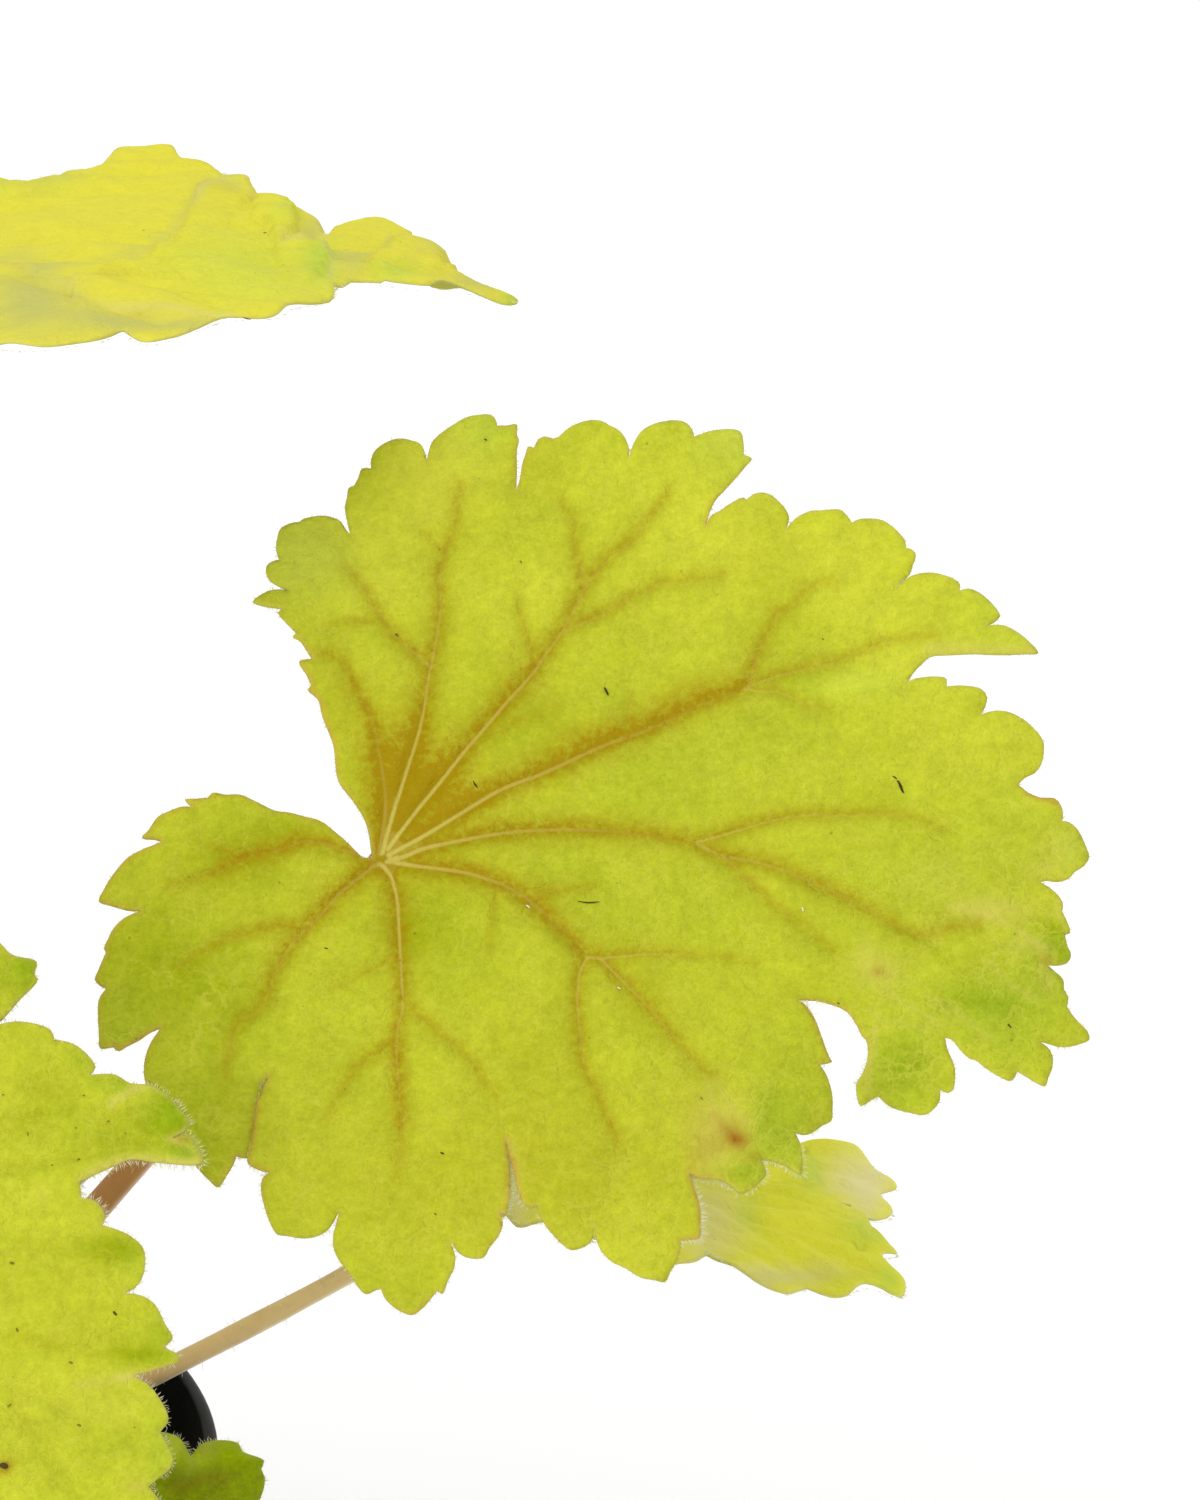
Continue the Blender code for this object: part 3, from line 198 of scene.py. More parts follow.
# Veins of the large leaf: strength at the start and end, pale share at the start, then the route.
LARGE_VEINS = """
:0.85,0.3,0.4 -0.2,0.7 0.4,3.7 0.5,6.7 0.1,9.7 -0.4,12.5 -1.2,15 -2.2,17.1 -3.7,19.8 -5.8,20.7
:1,0.25,1 0.2,0.7 1,3.7 1.7,6 2.8,9.4 3.8,12.5 4.4,15.2 4.8,17.9 5.1,19.4 5.5,21.4 5.9,23.7 6.1,26 5.9,28.3 6.5,30.6
7.3,32.5 7.8,35.2 8,37.5
:0.55,0.2,0.3 5,19.4 3.2,21 1.5,22.5 0.2,24.2 -0.8,26 -2,27.9 -3.5,29.2
:0.3,0.1,0 0.2,24.2 -1.8,23.8 -3.5,23.8 -5.2,23.1
:0.3,0.1,0 6.4,30.2 5.4,31.9 4.4,32.9
:1,0.25,1 0.8,1.2 3.2,4.4 5.9,7.7 8.2,10.6 10.5,13.3 12.8,16 15.2,18.7 17.1,21.4 18.2,22.9 19.4,25.2 20.5,27.3
22.5,29.8 25.2,32.1 27.5,34.8 29,36.7
:0.45,0.12,0.2 20.3,27.2 20.1,29.2 19.6,31 19.4,33.7 18.8,34.8 18,36.4
:0.4,0.12,0 15.5,19.4 15,21.7 14.4,23.3 14,25.2 13.8,26.4
:0.45,0.15,0.2 18.2,22.7 20.5,23.9 22.8,24.8 25.5,26.4 28.2,27.7 31.3,27.9 34.5,28.5
:0.22,0.08,0 12.1,12.6 14,13.8 15.9,14.4 18.6,15.4
:1,0.5,1 0.9,0.6 4.4,2.5 8.2,4.8 12.1,7.1 16.7,8.9 22.1,11.4 27,13.2 32,15.6 34.5,16.5 36.8,17.4
:0.4,0.15,0.3 36.8,17.4 38.8,18.1 40.7,18.7 45.3,19.7 48.7,21 50.7,21.8 53.5,22.2 56,22.4
:0.5,0.15,0.2 36.8,17.4 37.6,20.1 38.9,22.6 39.7,24.5 41.6,25.5 42.8,27.2 45.7,27.8
:0.35,0.1,0.5 36.4,17.1 38,16.9 39.9,16.8 42,15.9 43.2,15.1 45.3,14.9
:0.35,0.1,0 24.8,12.4 25.2,15 25.3,16.7
:0.9,0.5,0.9 1,0.2 2.1,0.3 4.4,1.2 7.5,1.9 10.5,2.5 13.2,2.9 18.2,3.1 23.6,2.9 28,2.4 31.4,1.8
:0.5,0.15,0.5 31.4,1.8 35.7,3 39.5,4.1 42.8,4.6 46.2,4.5 51.2,4.7 54.5,3.9 56.6,2.8
:0.6,0.25,0.4 31.4,1.8 34,0.6 36.5,0.1 38.8,-0.4 42.8,-2 47.2,-4 50.8,-6 54.4,-7.6 56.4,-6.9 60,-6.4
:0.42,0.15,0.2 34,0.5 35.2,-0.4 37.2,-2.2 39.2,-4.2 41.2,-5.8 44,-7.8 45.6,-9.4
:0.9,0.6,0.9 0.7,-0.1 3.5,-0.5 6,-0.8 9,-1.3 12,-2.3 14.7,-3.8 17,-5.8 19,-7.8 20.7,-9.6
:0.55,0.2,0.5 20.7,-9.6 20,-11 19.8,-12.1 19.7,-14.5 20,-17.5 20.2,-19.8 21,-21.8 22,-23.8 23,-26.1 24,-28.5
:0.6,0.2,0.5 20.7,-9.6 22,-9.8 22.8,-10.6 24.3,-12.1 26.7,-14.5 28.7,-16.8 30.7,-19.1 32.7,-21.1 33.7,-21.6
:0.4,0.12,0.5 21.6,-9.8 24.7,-9.5 27.7,-9.3 31.3,-9.5 34.7,-9.8 38,-10.5
:0.3,0.1,0 12,-2.6 11.5,-5.1 11.2,-7.1 11,-9.5
:0.3,0.1,0 15.4,-4.3 16.5,-3.3 18.7,-3.1 21.5,-2.7
:0.9,0.15,0.9 0.1,-0.4 1,-1.4 1.6,-3.3 1.8,-4.8 2,-8.8 2.2,-12.5 2.3,-14.5 1.8,-16.8 1.7,-19.1 2,-23.8 2.2,-28.5
1.8,-31.8
:0.45,0.12,0 1.7,-18.3 0.5,-18.8 -1,-19.8 -3,-21.8 -4,-23.5 -4.7,-24.8 -5.3,-26.1
:0.4,0.12,0 2.2,-13.8 3.2,-14.8 4.7,-16.1 6.3,-17.5 8.3,-19.1 9.3,-20.1 10.7,-22.5 11.7,-23.6
:0.3,0.1,0 2,-10 0.5,-10.4 -0.7,-11 -2.7,-12 -4.7,-13.1
:0.85,0.2,0.4 -0.5,-0.4 -2.3,-1.8 -4.3,-3.5 -6,-5.5 -7.7,-7.1 -9.3,-9.1 -10.7,-11.8 -11.7,-14.5 -13.7,-16.1
-14.7,-17.8 -15.2,-20.1 -15.5,-22.1
:0.5,0.15,0 -6.8,-6.6 -8,-6.8 -9.7,-6.6 -12,-7 -14.3,-7.6 -16.7,-8.8 -18.7,-9.8 -20.2,-11
:0.65,0.15,0.2 -0.8,0.1 -4,1.2 -5.7,1.8 -7.7,1.9 -10.3,1 -13,0.4 -14.7,-0.1 -16.3,-1.3 -19,-2.1 -21.3,-2.6
:0.3,0.1,0 -13.5,0.2 -15.7,1 -17.3,1.4
"""

# Outer ends of the main veins of the leaves that are drawn from outlines
FRONT_TIPS = ((-13, 24), (6, 38), (26, 33), (46, 9.5), (44.5, -20), (20, -43), (-9, -38), (-26, -12))
LOW_TIPS = ((-6.5, 14), (5, 18), (19, 14.5), (23, 1), (17, -11), (4, -14.5), (-8.5, -6))
HIGH_TIPS = ((-13, 26), (12, 41), (48, 43), (84, 0), (64, -28), (28, -40), (-10, -27))
REAR_TIPS = ((-10, 19), (14, 28), (37, 24), (43, 6), (43, -16), (27, -26), (3, -26))

# The leaves in front: foot angle and ring, two control points and top radius of the stalk, and how far from
# the junction it joins its blade.
FRONT_STALKS = {
    "leaf_01": (-20.0, INNER_RING, (24.0, -9.0, 105.5), (59.5, -22.0, 150.5), 1.4, (1.6, -1.2)),
    "leaf_02": (10.0, INNER_RING, (13.0, 4.0, 140.0), (-10.0, 14.0, 190.0), 1.3, (2.0, 0.0)),
    "leaf_03": (-60.0, INNER_RING, (9.0, -22.0, 112.0), (11.0, -52.0, 140.0), 1.3, (1.6, -1.2)),
    "leaf_04": (20.0, OUTER_RING, (42.0, 8.0, 100.8), (68.0, 18.0, 107.9), 1.0, (1.6, -0.5)),
    "leaf_05": (-25.0, OUTER_RING, (28.0, -18.0, 106.0), (37.0, -32.0, 110.0), 0.9, (1.0, -0.8)),
}
# The other leaves: foot angle and ring, angle, reach and height of the junction, pitch, turn, length and bow.
OTHER_LEAVES = {
    6: (45.0, INNER_RING, 32.0, 117.0, 143.0, -8.0, 0.0, 28.0, 0.18),
    7: (-60.0, OUTER_RING, -68.0, 96.0, 94.0, -34.0, 0.0, 37.0, 0.44),
    8: (-100.0, OUTER_RING, -112.0, 78.0, 105.0, -34.0, -2.0, 36.0, 0.34),
    9: (-140.0, OUTER_RING, -138.0, 92.0, 118.0, -24.0, 0.0, 44.0, 0.26),
    10: (-180.0, INNER_RING, -168.0, 76.0, 160.0, -14.0, 0.0, 48.0, 0.24),
    11: (140.0, OUTER_RING, 158.0, 98.0, 112.0, -24.0, 0.0, 46.0, 0.28),
    12: (135.0, INNER_RING, 128.0, 74.0, 168.0, -12.0, 0.0, 46.0, 0.24),
    13: (100.0, OUTER_RING, 98.0, 92.0, 124.0, -24.0, 4.0, 40.0, 0.26),
    14: (-135.0, INNER_RING, -140.0, 44.0, 196.0, -6.0, 0.0, 44.0, 0.24),
    15: (180.0, OUTER_RING, -168.0, 104.0, 98.0, -34.0, 6.0, 38.0, 0.36),
    16: (90.0, INNER_RING, 78.0, 32.0, 142.0, 20.0, 0.0, 24.0, 0.24),
    17: (-90.0, INNER_RING, -80.0, 22.0, 126.0, 42.0, 0.0, 17.0, 0.24),
}
# Angle, reach and half width of a blade's lobes, in degrees and shares of its length
LOBES = (
    (-142.0, 0.66, 20.0),
    (-97.0, 0.84, 24.0),
    (-48.0, 0.95, 24.0),
    (0.0, 1.0, 24.0),
    (48.0, 0.95, 24.0),
    (97.0, 0.84, 24.0),
    (142.0, 0.66, 20.0),
)

# Looks of the leaves in front. A word names a field, and after it come one value, or its soft spots
# "x,y,radius across,radius up,amount" and strokes "amount/width/x,y;x,y" in millimetres from the junction.
# Marks are crumbs of dirt, "shade/radius/x,y;x,y", and steps are folds, "lift/reach/x,y;x,y".
# The tone and light fields hold painted light and shade besides the leaves' own colour: dark tone strokes along
# and darker to its lower left, are partly painted light.
# and lips, and the large leaf's broad tone and light spots, lighter to its upper right and on its upper left lobe
# veins and folds are painted shade, light strokes on fold ridges are painted highlights next to the pale margins
FIELD_BASES = dict(tone=0.7, fresh=0.1, light=0.0, blush=0.0, rust=0.0, pink=0.04, net=0.3, wan=0.0, rim=0.2)
LARGE_LOOKS = """
base_tone 0.62 base_fresh 0.08 base_pink 0.05 base_net 0.42 base_hairy 0.2 base_rim 0.25
tone 24,38.2,6,6,-0.12 -15.5,-13.8,4.5,4.5,-0.18 52.5,-3.8,5,4,-0.1 41,22.2,5,5,-0.1 47,28.2,8,8,0.35
38,22.2,7,7,0.08 24,39.2,6,6,0.32 26,24.2,6,6,0.09 5,38.2,5.5,5.5,0.3 -8,30.7,4.5,4.5,0.23 -1,29.2,5.5,5.5,0.19
14,14.2,6,6,-0.16 28,9.2,7,7,-0.14 40,13.2,6,6,-0.08 52,18.2,6,6,0.16 61,12.2,6,6,0.26 18,-3.8,6,6,-0.19
27,-14.8,5,5,-0.11 7,-33.8,6,6,0.07 -4,-31.8,6,6,0.09 26,-37.8,5,5,0.19 -15,-13.8,5,5,-0.26 -23,-9.8,6,6,-0.44
-14,0.2,5,5,-0.3 -19,-24.8,5,5,-0.35 52,-22.3,4.5,4.5,-0.21 63,-14.8,5,5,-0.23 4,-6.8,5,5,-0.4 35.5,42.2,4,4,0.29
10.5,43.7,3.5,3.5,0.27 40,-28.8,4,4,-0.18 62,22.2,5,5,0.19 42,-21.8,5,5,-0.11 -4,-19.8,5,5,-0.07
34,-25.8,3.5,3.5,0.14 67.5,-9.8,3,3,-0.22 8,26.2,5,5,0.17 16,27.2,5,5,0.2 66,6.2,4,4,0.08 -26,-16.8,3,3,-0.22
2,-42.8,4,4,-0.12 32,34.2,5,5,0.28 2,6.2,5,5,-0.21 42,22.2,5,5,-0.18 26,22.2,4,4,-0.08 5,39.2,5,5,0.22
-8,31.2,5,5,0.3 -1,30.2,4.5,4.5,0.2 58,12.2,5,5,-0.1 62,1.2,5,5,-0.07 32,-3.8,5,5,-0.1 14,-19.8,5,5,-0.12
7,-33.8,6,5,-0.1 -3,-31.8,5,5,-0.08 18,-32.8,5,5,-0.1 -8,3.2,6,2,-0.25 -14,0.2,4,3,-0.1 52.5,-19.8,2.4,2.6,-0.35
54.5,-21.8,1.4,2,-0.15 67.5,-8.3,2,1.4,-0.45 67.5,-6.3,1.6,0.8,-0.3 59.5,-14.3,4.4,1.4,-0.25 57,-13.8,2.4,1.6,-0.2
38.7,-25,1.2,3.4,-0.3 36.2,-31.3,2,1.2,-0.3 -17,-29.3,1.6,2.6,-0.25 44,-8.8,3,1.2,-0.12
0.3/1/45.3,17.2;49,18.2;52.5,19.4;55,20.2 -0.3/0.4/64,-5.3;66,-6;68.2,-7.3
-0.25/0.35/51.5,-6.8;54.5,-8.3;57,-10.3;59.5,-11.8
fresh -8,30.7,4.5,4.5,0.5 28,9.2,7,7,0.16 40,13.2,6,6,0.07 62,1.2,6,6,0.2 52,-2.8,6,6,0.2 32,-3.8,6,6,0.06
18,-3.8,6,6,0.11 -15,-13.8,5,5,0.06 -19,-24.8,5,5,0.11 52,-22.3,4.5,4.5,0.39 53,-14.8,4.5,4.5,0.13 63,-14.8,5,5,0.59
35.5,42.2,4,4,0.45 10.5,43.7,3.5,3.5,0.49 40,-28.8,4,4,0.48 62,22.2,5,5,0.22 42,-21.8,5,5,0.19
34,-25.8,3.5,3.5,-0.11 67.5,-9.8,3,3,0.4 66,6.2,4,4,0.07 -26,-16.8,3,3,0.3 -8,31.2,5,5,0.1 52.5,-19.8,2.6,2.8,0.3
67.5,-8.3,2.2,1.4,0.4 58,-14.3,5,2,0.3 38.7,-25,1.4,3.4,0.35 36.2,-31.3,2.2,1.4,0.35 47,17.7,6,1.6,0.35
69,1.2,1.6,2,0.4 66.5,30.7,3,1.4,0.4 61,39.2,2,1.2,0.2
light -8,31.2,4.5,4.5,0.25 5,40.2,5.5,5.5,0.15 -1,30.2,4,4,0.1 35.5,42.2,4,3,0.15 61,-4.8,3.4,1.3,0.6
64.5,-8.3,2.2,0.9,0.35 66.6,-11.3,1,2.2,0.35 68.3,-4.3,0.8,1.6,0.6 68,1.2,2.2,2.4,0.25 66,-0.8,2,0.8,0.25
0.4/0.3/57,-4.3;60.5,-5.3;63.5,-6.8;66.5,-8.8 0.3/0.3/49,-14.8;50.4,-15.8;52,-16;54.5,-16.8
0.5/0.4/49.4,-16.8;49.2,-18.8;48.8,-21;48.6,-23 0.3/0.3/55,-13.8;58,-15.3;61,-17.8
0.3/0.3/50.5,-12.8;52.5,-14.3;55,-15.6 0.3/0.3/60.5,-9.8;63,-12.3;65.5,-13.8 33.6,-26.6,3,3.2,0.6
49.8,-11,2.2,1.8,0.55 48.5,-8.8,1,1.4,0.3 32.5,-30.3,1.6,2,0.35 56,-1.8,3,2,0.15
0.55/0.7/55,21;58,21.2;62,21;65,20.9 0.35/0.5/-11.8,-21.8;-13,-24.8;-13.3,-28.8
0.6/0.4/13,-28.1;13.6,-30.8;13.9,-33.8;15,-35 0.3/0.3/33.7,-21.8;35,-24.5;37,-26.5
0.3/0.3/32.7,-21.8;33,-24.1;33.3,-26.1
blush 1.8,6.2,2.6,4.5,0.7 4.5,9.2,4,4,0.55 7.5,6.7,3.6,2.6,0.4 2,12.2,2.4,4.5,0.3 -1.5,10.2,1.4,5,0.3
-4,16.2,1.4,4,0.2 14,17.2,3.4,3.4,0.14 22,12.7,5,1.6,0.2 0.3/1.5/16,9.7;22,12.4;30,15.4;35.5,18
0.3/1.2/2,-17.8;2.2,-21.8;2.2,-25.8 0.3/1.2/-8,1.9;-10.3,1;-13,0.4;-15.5,-0.8 0.25/1.4/28,16.2;30,17.2;32,17.2
0.15/1.6/16,-3.3;18,-3.1;21,-2.8 31.5,-29.3,1.6,2.4,0.25 6,-32.3,15,8,0.13 22,-30.3,11,7,0.14 14,-18.8,6,6,0.08
27,-13.8,4,4,0.1 -14,0.2,5,3,0.12 -21,-3.8,4,3,0.06 32,-24.8,2.6,3.4,0.12 15.5,39.2,3,4,0.08 38,30.2,9,3,0.06
-12.5,-25.3,1.4,3,0.2 15,-28.8,2,5,0.1
rust 35.7,-28,1.1,0.8,0.9 34.8,-27,1.6,1.2,0.4 33.2,-28.8,1.2,0.8,0.2 37.2,-29.6,1,0.5,0.35 49.8,-11,0.6,0.5,0.6
66.5,-9.8,0.8,0.4,0.5 0.2/0.4/33.2,-25.4;34.2,-26.4;35.4,-27.6 0.4/0.4/65.5,6.7;67.5,5.9
0.35/0.35/-12.2,-23;-12.7,-25.3;-12.9,-27.3 0.3/0.35/13.3,-29.8;13.2,-32.3
pink -5.5,15,4,9,0.6 -27,-8.8,4,10,0.35 -13,-25.8,3,8,0.6 44,-16.8,5,4,0.45 31.5,-35,3,5,0.7 12.8,-31.8,2.5,6,0.55
-18,5.2,8,4,0.35 -24,0.2,5,4,0.3 66,6.2,3,2,0.6 32,35.2,3,3,0.3 14,41.2,2,4,0.3 -24,-17.8,3,2,0.5 4,-44.8,4,1.2,0.3
net 60,-7.8,10,9,0.5 53,-19.8,6,6,0.4 34,-27.8,8,6,0.45 -20,-17.8,8,12,0.35 0,-35.8,12,8,0.2 22,-33.8,10,7,0.25
-5,26.2,6,6,0.2
hairy 32,-34.8,2,5,1 40,-30.8,4,2.5,0.9 13,-31.8,2,6,0.9 -13,-25.8,2.5,7,0.9 33.5,-31.8,3,1.5,0.9 49,-21.8,2,4,0.6
-4,-36.8,2,2,0.4 42.5,-14.8,3,2,0.5 -11,26.2,2,2,0.4
marks 0/0.14/22.4,17.2;22.7,16.6 0/0.13/51.7,8;52.1,7.3;52.3,6.8 0/0.09/51.3,8.5;51.6,8.2
0/0.07/54.2,3.7;55.2,3.6;56.3,3.5 0/0.07/19.8,-4.1;20.8,-4.3;21.9,-4.2 0/0.1/9.4,7.9;9.7,7.4
0/0.13/-11.6,-19.6;-11.2,-20.4 0.1/0.1/62.7,-16.4;62.9,-16.6 0.1/0.1/-5.5,-8.7;-5.3,-8.8 0.2/0.1/1.6,22.6;1.8,22.5
0.1/0.12/6.2,-29.1;6.4,-29.3 0.1/0.12/5.5,-35.2;5.7,-35.3 0.2/0.08/7,-33.5;7.1,-33.6 0.2/0.09/10.4,42.1;10.6,42
0.2/0.07/14,29.9;14.1,29.8 0.2/0.07/10,-38.1;10.1,-38.1 0.3/0.07/32,-23.8;32.1,-23.9 0.2/0.08/45.8,-14.1;45.9,-14.2
0.2/0.06/27.5,20.7;27.6,20.6 0.2/0.06/44.2,22.2;44.3,22.1 0.2/0.06/18,-14.8;18.1,-14.9
0.2/0.06/-23,-14.8;-22.9,-14.9 0.2/0.06/-18.5,-12.3;-18.4,-12.4 0.2/0.06/3.5,-7.3;3.6,-7.4 1/0.1/14.6,-4.6;14.8,-4.7
1/0.1/23.7,-12.8;23.9,-12.9 1/0.08/42.2,-4.7;42.3,-4.8
"""
FRONT_LOOKS = """
base_tone 0.7 base_halo 0.12 pale_lines 0.35 relief 0.8 base_pink 0 base_net 0.4 base_hairy 0.4 base_rim 0.4
tone 41.41,9.27,4.79,1.91,-0.35 45.24,11.18,2.49,2.11,-0.25 43.32,-10.36,3.25,2.49,-0.35 30.4,24.1,3.83,3.25,-0.25
39.02,-1.26,2.49,1.72,-0.25 32.79,14.05,3.83,2.49,-0.2 45.43,11.75,2.3,2.11,-0.62 47.15,7.93,2.11,0.96,-0.5
40.45,14.43,2.49,0.86,-0.45 37.01,16.92,1.53,1.34,-0.35 31.84,25.73,2.49,2.11,-0.45 40.26,-1.26,3.45,1.34,-0.6
38.35,4.48,1.91,1.34,-0.3 44.28,-8.92,1.91,1.34,-0.15 41.98,-11.31,3.25,0.86,-0.5 44.28,-20.41,1.72,2.87,-0.2
34.71,9.27,6.7,2.11,-0.15 34.71,-6.05,3.83,3.83,-0.08 38.54,-20.41,2.87,2.87,-0.12 43.32,-9.88,1.91,1.91,0.1
40.93,11.18,2.87,1.91,-0.12 29.73,13.09,1.34,2.87,0.15 -0.22/0.48/29,11.2;33.3,11.7;36.8,12.1;39,12.9
-0.15/0.48/29,6.8;31.4,6.7;34.2,6.9;36.8,7.4 -0.15/0.57/30.4,-9.4;32.5,-9.9;34.9,-10.8
fresh 45.62,11.75,2.11,2.11,0.9 46.96,7.93,1.91,1.15,0.8 40.64,14.63,2.3,1.15,0.5 37.01,16.92,1.34,1.15,0.3
31.84,25.54,2.3,1.72,0.7 41.6,-2.22,1.34,1.91,0.3 44.47,-8.44,1.34,1.91,0.3 44.76,-11.41,1.72,0.77,0.3
44.47,-20.41,1.53,3.25,0.4 40.45,9.27,4.79,1.91,0.1
light 0.75/0.48/37,5.5;38.5,6.4;40.5,7.1;42.4,7.3;44.3,7.2;46.7,7;48.4,7.1
0.8/0.34/39.5,12.6;40.9,13.5;42.4,14.3;43.8,14.5;45.7,13.7;46.8,12.1 0.6/0.29/45,9.1;45.9,9.4;46.8,10.1
0.5/0.29/45.8,9;47.3,8.5;48.3,7.5 0.7/0.34/46.6,-12.3;44.5,-12.8;41.9,-13.3;40.5,-13.6
0.4/0.48/41.4,-13.4;39.2,-13.8;36.6,-14.2 0.4/0.29/36.7,3.9;38.4,3;38.9,1.9;38.4,0.7 33.08,4,0.77,0.57,0.3
41.98,-23.95,0.96,0.48,0.5 38.54,-16.58,5.74,2.11,0.12 0.4/0.38/29,20.8;30.4,21.9;31.6,23.1
rust 29.44,-21.94,0.57,0.48,0.95 46.39,9.27,0.86,0.38,0.4 47.34,10.41,0.38,0.57,0.2
blush 29.44,-21.94,1.34,1.05,0.45 46.48,9.17,0.57,0.38,0.4 41.89,-23.76,0.96,0.57,0.15 31.36,-18.01,3.83,0.96,0.08
34.71,-6.05,8.61,8.61,0.07 31.84,14.05,5.74,4.79,0.04 0.12/0.48/30.4,-9.4;32.5,-9.9;34.9,-10.8
0.25/0.29/29,20.7;30.5,21.7;31.8,23
hairy 43.32,7.35,6.7,1.34,1 46.67,11.18,1.53,2.87,0.9 38.06,4,1.91,1.91,0.7 48.11,6.87,1.34,1.34,0.9
39.02,2.09,1.34,1.91,0.5
marks 0.3/0.13/30.02,-2.6;30.21,-2.7 0.35/0.12/34.42,-3.27;34.52,-3.47 0.15/0.14/39.88,-7.2;40.07,-7.49
0.35/0.11/32.51,-6.15;32.6,-6.24 0.3/0.11/30.59,-8.92;30.69,-9.02 0.3/0.12/31.93,-9.21;32.12,-9.3
0.35/0.1/35.67,-12.08;35.86,-12.18 0.35/0.12/36.43,-18.01;36.62,-18.11 0.1/0.28/29.25,-21.84;29.54,-22.03
0.3/0.07/37.01,13.48;37.1,13.38 0.3/0.07/39.3,10.99;39.4,10.89 0.2/0.08/36.43,7.16;36.62,7.26
0.3/0.07/33.94,6.68;34.04,6.78 0.3/0.07/34.42,4.86;34.52,4.86 0.3/0.06/31.65,9.74;31.74,9.65
0.3/0.06/36.14,10.32;36.24,10.32 0.3/0.06/40.93,9.74;41.03,9.65 0.4/0.08/29.73,-16.39;29.92,-16
0.3/0.07/29.25,13.48;29.35,13.38 0.4/0.06/29.35,7.35;29.44,7.26
"""
LOW_LOOKS = """
base_tone 0.5 base_halo 0 pale_lines 0.3 relief 0.9 base_pink 0 base_net 0.15 base_rim 0.3
tone 17.34,15.06,3.05,1.43,0.35 12.25,12.51,3.05,1.63,-0.25 19.37,12,1.43,2.04,0.1 11.74,16.07,0.81,1.63,0.7
13.77,14.34,1.22,0.92,0.35
light 0.5/0.51/11.4,17.6;12.5,16;13.3,14.5 0.4/0.61/12.8,13;14.3,14.5;16.1,15.8
0.25/0.61/14.3,16.6;16.8,16.2;19.4,15.4
fresh 17.85,15.57,3.05,1.43,0.3 19.58,13.53,1.02,2.44,0.4
wan 11.43,15.57,0.71,1.43,0.4 14.79,15.97,0.81,0.81,0.35
rust 0.25/0.51/11.7,11.5;14.3,12.3;16.8,12.7
hairy 14.28,16.58,4.07,1.02,0.5
"""
HIGH_LOOKS = """
base_tone 1 base_halo 0 pale_lines 0.15 base_pink 0 base_net 0.12 base_rim 0.3 base_hairy 0.1
tone 66.81,3.27,1.86,1.86,-0.35 58.04,3.58,8.77,3.09,-0.14 63.72,7.71,1.65,1.03,-0.15 74.86,2.03,2.48,0.93,-0.3
57.11,13.17,0.83,1.03,-0.45 36.9,11.83,6.19,1.65,-0.12 86.82,-0.03,1.44,0.72,-0.4 77.13,6.16,2.68,0.83,-0.1
fresh 67.02,3.06,1.65,1.86,0.9 58.04,3.58,7.74,3.09,0.5 63.1,8.01,1.44,0.83,0.6 74.86,2.03,2.48,0.83,0.8
57.11,13.17,0.83,1.03,0.6 62.17,0.48,6.19,2.06,0.3 36.9,11.83,5.16,1.44,0.35 86.82,-0.03,1.44,0.72,0.8
wan 36.9,-0.86,4.74,3.71,1.15 45.15,-2.92,5.16,1.03,0.95 53.4,-3.23,6.19,0.62,0.85 57.32,10.9,2.27,0.83,0.6
65.78,6.36,1.34,1.13,0.95 78.98,4.61,2.27,1.03,0.7 82.7,1.41,3.3,0.83,0.85 70.11,2.86,1.65,1.03,0.7
37.41,12.55,4.64,1.65,0.35 35.87,4.3,2.48,0.93,0.4 0.5/0.62/37.4,2.8;43.3,3.4;48.1,4.3;51.1,6.1;53.4,8.4;54.9,10.3
0.6/0.52/67.7,3.9;70.1,3.9;72.6,4.2;75,5.5;78,5.8;80,4.1
light 0.6/0.36/54,9;55.1,10.6;56.7,11.5;59.5,11.9;60.2,10.4 0.5/0.36/60,9.8;62.4,10.1;64.9,9.1;66.6,7.1;67.1,5.5
0.55/0.36/63,5.3;66,5.3;68,3.3;67.8,1.8 0.45/0.41/39.8,1.7;41.5,0.2;40.9,-1
0.5/0.41/41.5,-0.6;46.2,-1.3;51.3,-1.7;57.5,-2.3 0.25/0.62/41.5,13.8;45.8,15.5;49.3,16.1
0.3/0.41/33.8,3.9;36.2,3.1;39,2.7
blush 65.68,6.16,1.03,0.83,0.35 44.63,1.72,4.13,0.41,0.2 57.01,9.97,2.06,0.52,0.2 48.24,-1.99,2.68,0.52,0.25
0.3/0.31/33.8,3.4;36.2,2.7;37.5,1.6 0.2/0.41/79.1,3.6;81.3,2.2;84.3,1
steps 0.75/3.09/41,1;45.1,2.4;49.3,3.9;52,5.3;53.2,7;53.7,8.6;54.4,10.3;55.6,11.2;57.1,11.7;59.2,11.6;60.3,10.3
0.9/2.68/60.2,10;61.9,9.8;63.3,9.1;64.1,8.1;64.2,7;63.5,5.8;62.3,5.3 0.9/3.09/62.3,5.1;64.7,5.5;67,4.7;68.2,3.3
0.8/2.27/71.8,2.9;73.4,4.3;75.1,5.1;77.1,5.4;79.7,3.9
marks 0.3/0.1/61.03,6.05;61.24,5.95 0.2/0.12/58.97,-2.71;59.59,-2.82 0.4/0.07/36.9,5.13;37,5.02
0.4/0.07/48.55,6.88;48.66,6.88
"""
